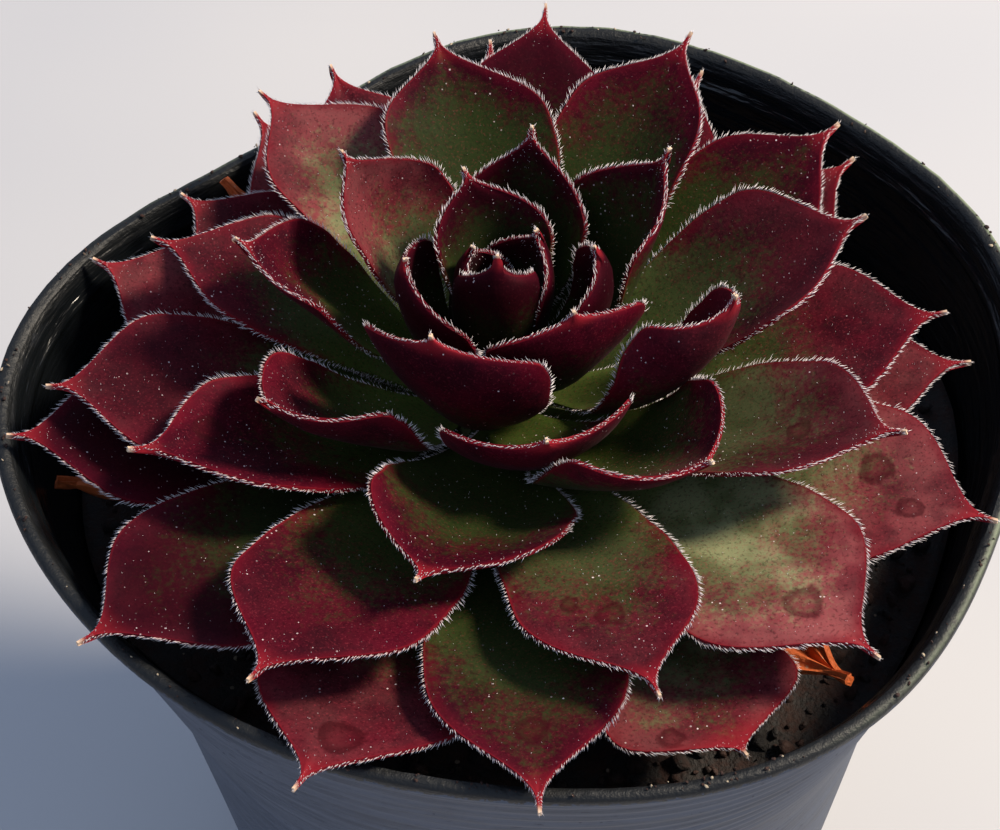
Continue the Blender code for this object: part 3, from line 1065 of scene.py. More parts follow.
MIDDLE_LEAVES = (
    Leaf(312, 47.5, 4, 19, 0.23, bow=-10, green=0.68, pale=0.9, dark=0.0, stains=((0.82, -0.05, 2.0),)),
    Leaf(243, 44.5, 7, 18, 0.24, bow=-8, sway=1.5, green=0.6, pale=0.05, dark=0.35),
    Leaf(163, 33, 7, 13.5, 0.30, bow=-5, cup=0.3, sway=-1.6, widest=0.62, green=0.6, pale=0.1, dark=0.3),
    Leaf(35, 39, 9, 15, 0.28, bow=-3, green=0.72, dark=0.5),
    Leaf(83, 39, 9, 15, 0.30, bow=-0.5, green=0.62, dark=0.75),
    Leaf(207, 35.5, 8, 15.5, 0.33, bow=-5, cup=0.3, roll=4, sway=1.8, widest=0.6, green=0.48, dark=0.35,
         stains=((0.77, -0.35, 1.7),)),
    Leaf(288, 43, 6.5, 15.5, 0.33, bow=-9, sway=-0.4, green=0.66, pale=0.15, dark=0.25,
         stains=((0.76, -0.05, 1.5), (0.7, -0.4, 1.0))),
    Leaf(131, 34, 10, 15, 0.38, cup=0.3, sway=-3, green=0.66, pale=0.65, dark=0.1),
    Leaf(335, 38.5, 10.5, 16, 0.39, cup=0.3, roll=-6, sway=-0.5, green=0.66, pale=0.3, dark=0.5,
         stains=((0.74, 0.0, 1.4),)),
    Leaf(59, 35.5, 13, 14, 0.39, bow=3, cup=0.5, sway=1, green=0.72, dark=0.5),
    Leaf(13, 34, 12, 16, 0.47, cup=0.5, green=0.6, pale=0.12, dark=0.45),
    Leaf(258, 32, 9.5, 18, 0.43, bow=-2, cup=0.5, roll=-8, sway=2.5, green=0.7, dark=0.5),
    Leaf(101, 31, 13, 16, 0.47, bow=3, cup=0.3, sway=-2, green=0.78, dark=0.5),
    Leaf(216, 25, 13, 16, 0.52, bow=11, cup=0.7, roll=15, sway=0.8, widest=0.66, green=0.55,
         pale=0.05, dark=0.35),
    Leaf(311, 27.5, 12, 18.6, 0.55, bow=13, cup=0.85, roll=-3, sway=-1.2, widest=0.74, green=0.74,
         pale=0.05, dark=0.2),
)
UPPER_LEAVES = (
    Leaf(175, 23, 15, 13, 0.61, bow=10, cup=0.5, roll=14, sway=-1.6, widest=0.68, green=0.62, dark=0.4),
    Leaf(282, 20, 13.5, 18, 0.65, bow=22, cup=0.35, sway=0.5, widest=0.76, green=0.5, dark=0.4),
    Leaf(340, 21.5, 18, 13, 0.72, bow=29, cup=1.2, roll=-28, sway=-1.6, widest=0.72, green=0.5,
         pale=0.1, dark=0.35),
    Leaf(142, 17.5, 17, 13, 0.70, bow=10, cup=0.5, sway=-1.5, widest=0.66, green=0.58, pale=0.45,
         dark=0.15),
    Leaf(28, 17, 20, 14, 0.77, bow=14, cup=0.9, sway=-0.3, widest=0.6, green=0.74, dark=0.6),
    Leaf(246, 13.5, 18.5, 17, 0.73, bow=27, cup=0.05, roll=6, sway=2, widest=0.78, green=0.5, dark=0.45),
    Leaf(75, 12, 19, 13.2, 0.84, bow=10, cup=0.3, sway=-0.4, widest=0.58, green=0.7, dark=0.85),
    Leaf(309, 10.3, 16.7, 15.4, 0.81, bow=25, cup=-0.3, roll=-16, sway=0.5, widest=0.74,
         green=0.55, dark=0.45),
)
# The heart's young leaves are darkest: partly their own dark colour and partly painted shade of the heart's
# hollow.
HEART_LEAVES = (
    Leaf(111, 8, 18, 13.2, 0.99, bow=-1, cup=0.1, sway=-1, widest=0.56, green=0.7, dark=0.85),
    Leaf(197, 8, 17, 14.4, 0.88, bow=18, cup=0.1, widest=0.6, green=0.5, dark=0.8),
    Leaf(353, 8.2, 17, 10, 0.92, bow=36, cup=0.5, widest=0.64, green=0.5, dark=0.95),
    Leaf(35, 4, 15.5, 10.2, 0.93, bow=12, widest=0.56, green=0.6, dark=1),
    Leaf(272, 1.8, 17, 13, 0.93, bow=14, cup=-0.2, widest=0.51, green=0.55, dark=1),
    Leaf(158, 2, 15, 9.4, 0.95, bow=12, widest=0.56, green=0.6, dark=1),
)
OPEN_LEAVES = {LeafStage.LOW: LOW_LEAVES, LeafStage.MIDDLE: MIDDLE_LEAVES, LeafStage.UPPER: UPPER_LEAVES}
DRY_LEAVES = (
    Leaf(192, 40.8, -6, 9, -0.12, bow=7, cup=0.8, roll=6, stage=LeafStage.DRY),
    Leaf(314, 43.6, -5, 10, -0.12, bow=7, cup=0.7, stage=LeafStage.DRY),
    Leaf(285, 38, -5, 9, -0.12, bow=7, cup=0.8, roll=-6, stage=LeafStage.DRY),
    Leaf(138.5, 35, 0.5, 6, -0.12, bow=16, cup=0.3, sway=-1, stage=LeafStage.DRY),
)


@dataclass
class Blade:
    """Builds one leaf's blade as a thick, finely divided sheet."""

    leaf: Leaf
    name: str
    seed: int
    along: int = 54
    across: int = 18
    edge: float = 0.4 * MM
    belly_places: tuple[float, ...] = (0.0, 0.15, 0.4, 0.8, 1.0)
    belly: tuple[float, ...] = (0.3 * MM, 0.5 * MM, 1.1 * MM, 0.75 * MM, 0.05 * MM)
    dry_thickness: float = 0.45 * MM
    ripple: float = 0.352 * MM
    scallop: float = 0.28 * MM
    crumple: float = 1.3 * MM
    channel_depth: float = 0.3 * MM
    channel_width: float = 0.3
    rim_reach: float = 4 * MM

    def grid(self) -> tuple[Piece, Array, Array]:
        """A flat grid, with each vertex's place along and across the blade.

        Returns:
            The object, the places along and the places across.
        """
        clear_selection()
        bpy.ops.mesh.primitive_grid_add(x_subdivisions=self.across, y_subdivisions=self.along, size=1)
        piece = bpy.context.object
        piece.name = self.name
        flat = coordinates(piece.data)
        t = 1 - (0.5 - flat[:, 1]) ** 1.15
        v = np.sin(-flat[:, 0] * pi) * 0.45 - 2 * flat[:, 0] * 0.55
        return piece, np.clip(t, 0, 1), np.clip(v, -1, 1)

    def form(self, t: Array, v: Array) -> Array:
        """The upper face's places, with the small unevenness of a grown leaf.

        Args:
            t: places along the blade.
            v: places across it.

        Returns:
            The points.
        """
        point, normal, side, _ = self.leaf.surface(t, v)
        if self.leaf.stage is LeafStage.DRY:
            crumple = self.waver(t * 6.5, v * 2.2, 3.1) * self.crumple
            return point + normal * (crumple * np.minimum(1, 2 * t))[:, None]
        fade = np.minimum(1, 3 * t) * (1 - t**6)
        ripple = self.waver(t * 2.6, v * 1.3, 7.3) * self.ripple
        scallop = self.waver(t * 9.0, np.sign(v), 5.7) * self.scallop
        lifted = point + normal * (ripple * fade)[:, None]
        return lifted + side * (np.sign(v) * v * v * scallop * fade)[:, None]

    def waver(self, along: Array, across: Array, seed: float) -> Array:
        """Smooth noise over the blade, of its own seed."""
        return soft_noise(np.stack((along, across, along * 0), 1), 1.0, self.seed * seed)

    def groove(self, t: Array, v: Array) -> Array:
        """How deep the soft channel down the middle is at each place."""
        channel = self.channel_depth * np.exp(-((v / self.channel_width) ** 2))
        return channel * np.clip((t - 0.15) / 0.3, 0, 1) * (1 - t**3)

    def thickness(self, t: Array, v: Array) -> Array:
        """How thick the blade is at each place.

        Args:
            t: places along the blade.
            v: places across it.

        Returns:
            The thickness at each place.
        """
        if self.leaf.stage is LeafStage.DRY:
            return np.full(len(t), self.dry_thickness)
        return self.edge + np.interp(t, self.belly_places, self.belly) * (1 - v * v)

    def marks(self, t: Array, v: Array) -> Array:
        """The water marks at each place, 0 outside them and 1 in their middles.

        Args:
            t: places along the blade.
            v: places across it.

        Returns:
            The mask at each place.
        """
        place, *_ = self.leaf.surface(t, v)
        mark = np.zeros(len(t))
        for along, across, radius in self.leaf.stains:
            middle, *_ = self.leaf.surface(np.array([along]), np.array([across]))
            offset = place - middle
            wobble = 1 + 0.07 * np.sin(3 * np.arctan2(offset[:, 1], offset[:, 0]) + self.seed)
            mark = np.maximum(mark, 1 - np.linalg.norm(offset, axis=1) / (radius * MM * wobble))
        return np.clip(mark, 0, 1)

    def build(self) -> Piece:
        """Shape the grid, give it its thickness and store what its finish reads.

        Returns:
            The blade.
        """
        piece, t, v = self.grid()
        mesh = piece.data
        point, normal, _, _ = self.leaf.surface(t, v)
        shaped = self.form(t, v)
        if self.leaf.stage is not LeafStage.DRY:
            shaped = shaped - normal * self.groove(t, v)[:, None]
        move_vertices(mesh, shaped)
        rim = np.abs(1 - np.abs(v)) * self.leaf.half_width(t)
        tip, *_ = self.leaf.surface(np.ones(1), np.zeros(1))
        rim = np.minimum(rim, np.linalg.norm(point - tip, axis=1) * 0.7)
        rim = np.clip(rim / self.rim_reach, 0, 1)
        paint(mesh, "spot", np.stack((t, np.abs(v), self.marks(t, v), rim), 1))
        tone = (self.leaf.green, self.leaf.pale, self.leaf.dark, 1.0)
        paint(mesh, "tone", np.tile(tone, (len(t), 1)))
        self.thicken(piece, self.thickness(t, v))
        return piece

    def thicken(self, piece: Piece, depth: Array) -> None:
        """Give the sheet its thickness downwards, with its underside's own material.

        Args:
            piece: the sheet.
            depth: the thickness at each vertex.
        """
        full = float(depth.max())
        group = piece.vertex_groups.new(name="Depth")
        for number, value in enumerate(depth):
            group.add((number,), float(value) / full, "REPLACE")
        solid = piece.modifiers.new("Flesh", "SOLIDIFY")
        solid.thickness = full
        solid.offset = -1.0
        solid.vertex_group = group.name
        solid.material_offset = 1
        solid.use_even_offset = False
        apply_modifiers(piece)
        piece.vertex_groups.clear()


@dataclass
class HairComb:
    """The short white hairs along the leaves' edges and tips, and the sparse down on their faces."""

    name: str
    spacing: float = 0.155 * MM
    length: Span = (0.42 * MM, 0.92 * MM)
    root: float = 0.05 * MM
    length_along: tuple[tuple[float, ...], ...] = ((0.1, 0.4, 0.8, 1.0), (0.5, 1.0, 0.95, 0.55))
    lean_along: tuple[tuple[float, ...], ...] = ((0.1, 0.6, 0.9, 1.0), (0.35, 0.75, 1.3, 1.6))
    tuft: int = 12
    tuft_length: Span = (0.3 * MM, 0.65 * MM)
    down: int = 110
    down_length: Span = (0.08 * MM, 0.22 * MM)
    down_root: float = 0.035 * MM
    points: list[Array] = field(default_factory=list)

    def add_spines(self, base: Array, way: Array, side: Array, length: Array, root: Array) -> None:
        """Add three-sided spines.

        Args:
            base: where each is rooted.
            way: where each points.
            side: a direction across each.
            length: how long each is.
            root: how thick each is at its root.
        """
        way = unit(way)
        one = unit(np.cross(way, side))
        two = np.cross(way, one)
        corners = []
        for k in range(3):
            turn = 2 * pi * k / 3
            corners.append(base + (one * cos(turn) + two * sin(turn)) * root[:, None])
        corners.append(base + way * length[:, None])
        self.points.append(np.stack(corners, 1))

    def comb(self, blade: Blade, random: Draws) -> None:
        """Set the hairs of one leaf.

        Args:
            blade: the leaf's blade.
            random: the seeded source of variety.
        """
        fine = np.linspace(0.1, 0.985, 240)
        for edge in (-1.0, 1.0):
            run = blade.form(fine, np.full(len(fine), edge))
            steps = np.concatenate(([0], np.cumsum(np.linalg.norm(np.diff(run, axis=0), axis=1))))
            count = int(steps[-1] / self.spacing)
            walk = (np.arange(count) + random.uniform(0.1, 0.9, count)) * self.spacing
            t = np.interp(walk, steps, fine)
            v = np.full(count, edge)
            _, normal, side, forward = blade.leaf.surface(t, v)
            along = walk_along(unit(np.gradient(run, axis=0)), steps, walk)
            outer = side * edge
            outer = unit(outer - along * np.sum(outer * along, axis=1)[:, None])
            base = walk_along(run, steps, walk)
            base = base - normal * (random.uniform(0.05, 0.9, count) * blade.edge)[:, None]
            lean = np.interp(t, *self.lean_along) + random.normal(0, 0.24, count)
            way = outer + along * lean[:, None] + normal * random.normal(0.05, 0.2, count)[:, None]
            size = random.uniform(*self.length, count) * np.interp(t, *self.length_along)
            size = size * np.clip(1 + 0.4 * soft_noise(base, 900.0, 6.0), 0.45, 1.4)
            self.add_spines(base, way, forward, size, np.full(count, self.root))
        self.tuft_tip(blade, random)
        self.scatter_down(blade, random)

    def tuft_tip(self, blade: Blade, random: Draws) -> None:
        """Set the longer hairs at a leaf's tip.

        Args:
            blade: the leaf's blade.
            random: the seeded source of variety.
        """
        count = self.tuft
        t = random.uniform(0.965, 1.0, count)
        v = random.uniform(-1, 1, count)
        _, normal, side, forward = blade.leaf.surface(t, v)
        base = blade.form(t, v) - normal * (0.5 * blade.edge)
        way = forward + side * random.normal(0, 0.45, count)[:, None]
        way = way + normal * random.normal(0.1, 0.4, count)[:, None]
        size = random.uniform(*self.tuft_length, count)
        self.add_spines(base, way, side, size, np.full(count, self.root))

    def scatter_down(self, blade: Blade, random: Draws) -> None:
        """Set the tiny hairs on a leaf's upper face.

        Args:
            blade: the leaf's blade.
            random: the seeded source of variety.
        """
        count = self.down
        t = 1 - 0.75 * random.uniform(0.03, 1, count) ** 1.4
        v = random.uniform(-0.95, 0.95, count)
        _, normal, side, forward = blade.leaf.surface(t, v)
        base = blade.form(t, v) - normal * (blade.groove(t, v) + 0.03 * MM)[:, None]
        way = normal + forward * random.normal(0.1, 0.3, count)[:, None]
        way = way + side * random.normal(0, 0.3, count)[:, None]
        size = random.uniform(*self.down_length, count)
        self.add_spines(base, way, side, size, np.full(count, self.down_root))

    def build(self) -> Piece:
        """Make the comb one mesh, with each hair's tip marked.

        Returns:
            The hairs.
        """
        corners = np.concatenate(self.points)
        count = len(corners)
        start = 4 * np.arange(count)[:, None, None]
        faces = (start + np.array(((0, 1, 3), (1, 2, 3), (2, 0, 3), (0, 2, 1)))[None]).reshape(-1, 3)
        piece = mesh_object(self.name, corners.reshape(-1, 3), faces)
        paint(piece.data, "tip", np.tile((0.0, 0.0, 0.0, 1.0), count))
        return piece


@dataclass
class Rosette:
    """All the leaves: the open rosette, its tight heart and the dried-up leaves under it."""

    finishes: Finishes
    seed: int = 11
    crease: float = 60.0
    heart_core: Span = (2.0 * MM, 1.0 * MM)
    heart_core_height: Span = (POT_HEIGHT + 1.3 * MM, POT_HEIGHT + 8.5 * MM)

    def build(self) -> None:
        """Build and dress every leaf."""
        number = 0
        for stage, leaves in OPEN_LEAVES.items():
            hairs = HairComb(f"{stage.value}_leaf_hairs")
            random = np.random.default_rng(self.seed + number)
            for leaf in leaves:
                number += 1
                self.build_leaf(leaf, number, hairs, random)
            dress(hairs.build(), "leaf_flesh", None, self.finishes.hair)
        self.build_heart()
        for index, leaf in enumerate(DRY_LEAVES, start=1):
            blade = Blade(leaf, f"withered_leaf_{index}", 100 + index)
            piece = blade.build()
            shade_smooth(piece, self.crease)
            dress(piece, "dry_leaf", f"dry_leaf_{index}", self.finishes.dry, self.finishes.dry)

    def build_leaf(self, leaf: Leaf, number: int, hairs: HairComb, random: Draws) -> None:
        """Build one open leaf and comb its hairs.

        Args:
            leaf: the leaf.
            number: its number, from the lowest up.
            hairs: the comb that takes its hairs.
            random: the seeded source of variety.
        """
        blade = Blade(leaf, f"leaf_blade_{number:02d}", number)
        piece = blade.build()
        shade_smooth(piece, self.crease)
        hairs.comb(blade, random)
        dress(piece, "leaf_flesh", f"leaf_{number:02d}", self.finishes.upper_face, self.finishes.under_face)

    def build_heart(self) -> None:
        """Build the heart's young leaves round a small core, as one piece."""
        hairs = HairComb("heart_leaf_hairs", down=90)
        random = np.random.default_rng(self.seed + 77)
        pieces = []
        for index, leaf in enumerate(HEART_LEAVES):
            blade = Blade(leaf, f"young_leaf_{index}", 60 + index, along=44, across=14)
            pieces.append(blade.build())
            hairs.comb(blade, random)
        clear_selection()
        low, high = self.heart_core_height
        bpy.ops.mesh.primitive_cone_add(
            vertices=24,
            radius1=self.heart_core[0],
            radius2=self.heart_core[1],
            depth=high - low,
            location=(*ROSETTE_AXIS, (low + high) / 2),
        )
        core = bpy.context.object
        bpy.ops.object.transform_apply(location=True, rotation=True, scale=True)
        total = len(core.data.vertices)
        paint(core.data, "spot", np.tile((0.3, 0.2, 0.0, 1.0), (total, 1)))
        # The core's dark of 0.7 is partly painted shade, deep in the heart's hollow.
        paint(core.data, "tone", np.tile((0.6, 0.0, 0.7, 1.0), (total, 1)))
        only(pieces[0])
        for piece in (*pieces[1:], core):
            piece.select_set(True)
        bpy.ops.object.join()
        heart = bpy.context.object
        heart.name = "heart_leaves"
        shade_smooth(heart, self.crease)
        dress(heart, "leaf_flesh", "rosette_heart", self.finishes.upper_face, self.finishes.under_face)
        dress(hairs.build(), "leaf_flesh", None, self.finishes.hair)


# Pot and soil


@dataclass
class Pot:
    """The soft nursery pot, a little out of round, with fine ribs outside and a bead inside its rim."""

    finishes: Finishes
    top_radius: float = 45 * MM
    shoulder: Span = (36 * MM, 46 * MM)
    base_radius: float = 29 * MM
    wall: float = 0.8 * MM
    floor: float = 1.2 * MM
    lip_flare: float = 0.7 * MM
    lip_height: float = 2 * MM
    sides: int = 192
    waves: tuple[tuple[int, float, float], ...] = (
        (2, 1.75 * MM, 35),
        (3, 1.8 * MM, -54),
        (4, 0.9 * MM, 5),
        (5, 0.9 * MM, 20),
    )
    rib_height: float = 0.09 * MM
    rib_pitch: float = 1.7 * MM
    rib_start: Span = (50 * MM, 62 * MM)
    weld: float = 0.02 * MM
    crease: float = 50.0
    worn_band: Span = (1.2 * MM, 1.2 * MM)
    grit_band: Span = (1.9 * MM, 1.5 * MM)
    line_band: Span = (0.55 * MM, 0.3 * MM)
    nick: float = 0.16 * MM
    wear: float = 0.1 * MM
    sag: float = 0.25 * MM
    holes: int = 6
    hole_ring: float = 17 * MM
    hole_radius: float = 3 * MM
    # The side, in degrees, where the rim's pale line is painted as lit.
    painted_light_side: float = 50.0
    bead: tuple[Span, ...] = (
        (2.0 * MM, 0.0),
        (2.5 * MM, 0.06 * MM),
        (2.75 * MM, 0.24 * MM),
        (3.0 * MM, 0.32 * MM),
        (3.3 * MM, 0.24 * MM),
        (3.7 * MM, 0.0),
    )

    def push(self, angle: Array, height: Array) -> Array:
        """How far the pot is pushed out of round at angles and heights."""
        wave = sum(size * np.cos(order * (angle - radians(turn))) for order, size, turn in self.waves)
        return wave * (height / POT_HEIGHT) ** 2

    def radius(self, height: float) -> float:
        """The outer radius at a height, below the lip."""
        radii = (self.base_radius, self.shoulder[0], self.top_radius)
        return float(np.interp(height, (0.0, self.shoulder[1], POT_HEIGHT), radii))

    def profile(self) -> list[Span]:
        """The wall's section as radius and height, from the base's middle, up outside, down inside.

        Returns:
            The section's points.
        """
        lip = POT_HEIGHT - self.lip_height
        base, top, floor = self.base_radius, self.top_radius, self.floor
        points = [(0.0, 0.0), (base * 0.5, 0.0), (base - 1.2 * MM, 0.0), (base - 0.35 * MM, 0.12 * MM)]
        for height in np.linspace(1.0 * MM, 44 * MM, 22):
            points.append((self.radius(height), float(height)))
        for height in np.arange(45 * MM, lip, 0.42 * MM):
            fade = float(np.interp(height, self.rib_start, (0, 1)))
            rib = self.rib_height * sin(2 * pi * height / self.rib_pitch) * fade
            points.append((self.radius(height) + rib, float(height)))
        flare = top + self.lip_flare
        points += [(flare - 0.25 * MM, lip + 0.35 * MM), (flare, lip + 0.9 * MM)]
        points += [(flare, POT_HEIGHT - 0.45 * MM), (flare - 0.2 * MM, POT_HEIGHT - 0.1 * MM)]
        points += [(top + 0.1 * MM, POT_HEIGHT), (top - 0.35 * MM, POT_HEIGHT - 0.05 * MM)]
        points.append((top - 0.65 * MM, POT_HEIGHT - 0.5 * MM))
        for drop, swell in self.bead:
            points.append((self.radius(POT_HEIGHT - drop) - self.wall - swell, POT_HEIGHT - drop))
        for height in np.linspace(lip - 2.4 * MM, floor + 1 * MM, 26):
            points.append((self.radius(height) - self.wall, float(height)))
        return points + [(base - self.wall - 1 * MM, floor), (base * 0.5, floor), (0.0, floor)]

    def build(self) -> None:
        """Turn the section into a pot, push it out of round, drill it and dress it."""
        clear_selection()
        section = self.profile()
        bpy.ops.mesh.primitive_circle_add(vertices=len(section), radius=1)
        pot = bpy.context.object
        pot.name = "nursery_pot"
        move_vertices(pot.data, np.array([(radius, 0.0, height) for radius, height in section]))
        self.open_ends(pot)
        turned = pot.modifiers.new("Turn", "SCREW")
        turned.angle = 2 * pi
        turned.steps = self.sides
        turned.render_steps = self.sides
        turned.use_merge_vertices = True
        turned.merge_threshold = self.weld
        turned.use_normal_calculate = True
        apply_modifiers(pot)
        face_outwards(pot, self.weld)
        self.push_out(pot)
        self.drill(pot)
        self.store_walls(pot)
        shade_smooth(pot, self.crease)
        dress(pot, "pot_plastic", "pot", self.finishes.pot)

    def open_ends(self, pot: Piece) -> None:
        """Delete the edge that closes the section along the axis.

        Args:
            pot: the section.
        """
        only(pot)
        bpy.ops.object.mode_set(mode="EDIT")
        bpy.ops.mesh.select_all(action="DESELECT")
        bpy.ops.object.mode_set(mode="OBJECT")
        last = len(pot.data.vertices) - 1
        for edge in pot.data.edges:
            edge.select = set(edge.vertices) == {0, last}
        bpy.ops.object.mode_set(mode="EDIT")
        bpy.ops.mesh.select_mode(type="EDGE")
        bpy.ops.mesh.delete(type="EDGE")
        bpy.ops.mesh.select_mode(type="VERT")
        bpy.ops.object.mode_set(mode="OBJECT")

    def near_top(self, height: Array, drop: float, rise: float) -> Array:
        """How far heights are into a band that starts a drop below the top and takes a rise to fill."""
        return np.clip((height - (POT_HEIGHT - drop)) / rise, 0, 1)

    def push_out(self, pot: Piece) -> None:
        """Push the wall out of round and roughen the rim.

        Args:
            pot: the turned pot.
        """
        places = coordinates(pot.data)
        radius = np.hypot(places[:, 0], places[:, 1])
        angle = np.arctan2(places[:, 1], places[:, 0])
        wanted = radius + np.where(radius > 20 * MM, self.push(angle, places[:, 2]), 0.0)
        near_rim = self.near_top(places[:, 2], *self.worn_band)
        ring = directions(angle)
        nicks = soft_noise(ring, 46.0, 3.0) + 0.6 * soft_noise(ring, 110.0, 9.0)
        sag = soft_noise(ring, 3.0, 21.0)
        height = places[:, 2] + near_rim * (self.nick * nicks - self.wear) + self.sag * sag * near_rim
        scale = np.where(radius > 1e-6, wanted / np.maximum(radius, 1e-6), 1.0)
        move_vertices(pot.data, np.stack((places[:, 0] * scale, places[:, 1] * scale, height), 1))

    def drill(self, pot: Piece) -> None:
        """Cut the drain holes through the floor.

        Args:
            pot: the pot.
        """
        for k in range(self.holes):
            angle = 2 * pi * (k + 0.5) / self.holes
            clear_selection()
            where = (self.hole_ring * cos(angle), self.hole_ring * sin(angle), self.floor / 2)
            bpy.ops.mesh.primitive_cylinder_add(
                vertices=36, radius=self.hole_radius, depth=4 * self.floor, location=where
            )
            cutter = bpy.context.object
            cut = pot.modifiers.new(f"Drain hole {k}", "BOOLEAN")
            cut.operation = "DIFFERENCE"
            cut.solver = "EXACT"
            cut.object = cutter
            apply_modifiers(pot)
            bpy.data.objects.remove(cutter, do_unlink=True)

    def store_walls(self, pot: Piece) -> None:
        """Store how far each vertex is outside, in the gritty rim and on the pale line along its top, which
        is painted light, strongest on the side where the light falls.

        Args:
            pot: the pot.
        """
        places = coordinates(pot.data)
        angle = np.arctan2(places[:, 1], places[:, 0])
        radius = np.hypot(places[:, 0], places[:, 1]) - self.push(angle, places[:, 2])
        outer = np.array([self.radius(height) for height in places[:, 2]])
        outside = np.clip((radius - outer + self.wall * 0.6) / (0.2 * MM), 0, 1)
        rim = self.near_top(places[:, 2], *self.grit_band)
        # Painted light: the pale rim line shows only on the side where the light falls.
        painted_light_share = np.clip(0.35 + np.cos(angle - radians(self.painted_light_side)), 0, 1)
        top = self.near_top(places[:, 2], *self.line_band)
        line = top * np.clip((radius - self.top_radius - 0.2 * MM) / (0.25 * MM), 0, 1) * painted_light_share
        paint(pot.data, "wall", np.stack((outside, rim, line, np.ones(len(rim))), 1))


@dataclass
class RimCrust:
    """Crumbs of lime and grit along the pot's rim."""

    pot: Pot
    finishes: Finishes
    grains: int = 420
    size: Span = (0.05 * MM, 0.2 * MM)
    seed: int = 5

    def build(self) -> Piece:
        """Scatter the grains along the rim.

        Returns:
            The crust.
        """
        random = np.random.default_rng(self.seed)
        angle = random.uniform(0, 2 * pi, self.grains)
        clump = soft_noise(directions(angle), 9.0, 2.0)
        angle = angle[clump > random.uniform(-0.5, 0.35, self.grains)]
        count = len(angle)
        radius = self.pot.top_radius + random.uniform(-0.5, 0.55, count) * MM
        radius = radius + self.pot.push(angle, np.full(count, POT_HEIGHT))
        height = POT_HEIGHT + random.uniform(-0.16, 0.03, count) * MM
        middle = directions(angle) * radius[:, None] + UP * height[:, None]
        size = random.uniform(*self.size, count)
        tone = random.uniform(0.55, 1.0, count) ** 0.25
        return scatter_crumbs("rim_crust", middle, size, random, tone, flat=0.7)


def scatter_crumbs(
    name: str, middle: Array, size: Array, random: Draws, tone: Array, flat: float = 0.8
) -> Piece:
    """Small uneven eight-cornered lumps, each turned its own way.

    Args:
        name: the object's name.
        middle: where each lump lies.
        size: each lump's radius.
        random: the seeded source of variety.
        tone: the number that each lump's finish reads.
        flat: how flat the lumps are.

    Returns:
        The lumps, as one piece.
    """
    count = len(middle)
    cube = np.array([(x, y, z) for x in (-1, 1) for y in (-1, 1) for z in (-1, 1)], float) / np.sqrt(3)
    caps = np.array(((1, 0, 0), (-1, 0, 0), (0, 1, 0), (0, -1, 0), (0, 0, 1), (0, 0, -1)), float) * 1.08
    body = np.concatenate((cube, caps))
    faces = []
    rings = ((4, 5, 7, 6), (0, 2, 3, 1), (2, 6, 7, 3), (0, 1, 5, 4), (1, 3, 7, 5), (0, 4, 6, 2))
    for cap, ring in enumerate(rings, start=8):
        for k in range(4):
            faces.append((cap, ring[k], ring[(k + 1) % 4]))
    lumps = body[None] * random.uniform(0.7, 1.3, (count, len(body), 1))
    lumps = lumps * random.uniform(0.6, 1.4, (count, 1, 3)) * np.array((1.0, 1.0, flat))
    turn = random.uniform(0, 2 * pi, count)
    tip = random.normal(0, 0.5, count)
    c, s = np.cos(turn)[:, None], np.sin(turn)[:, None]
    x = lumps[:, :, 0] * c - lumps[:, :, 1] * s
    y = lumps[:, :, 0] * s + lumps[:, :, 1] * c
    z = lumps[:, :, 2] + x * np.tan(np.clip(tip, -0.7, 0.7))[:, None]
    points = np.stack((x, y, z), 2) * size[:, None, None] + middle[:, None]
    triangles = (np.arange(count)[:, None, None] * len(body) + np.array(faces)[None]).reshape(-1, 3)
    piece = mesh_object(name, points.reshape(-1, 3), triangles)
    paint(piece.data, "crumb", np.repeat(tone, len(body)))
    return piece


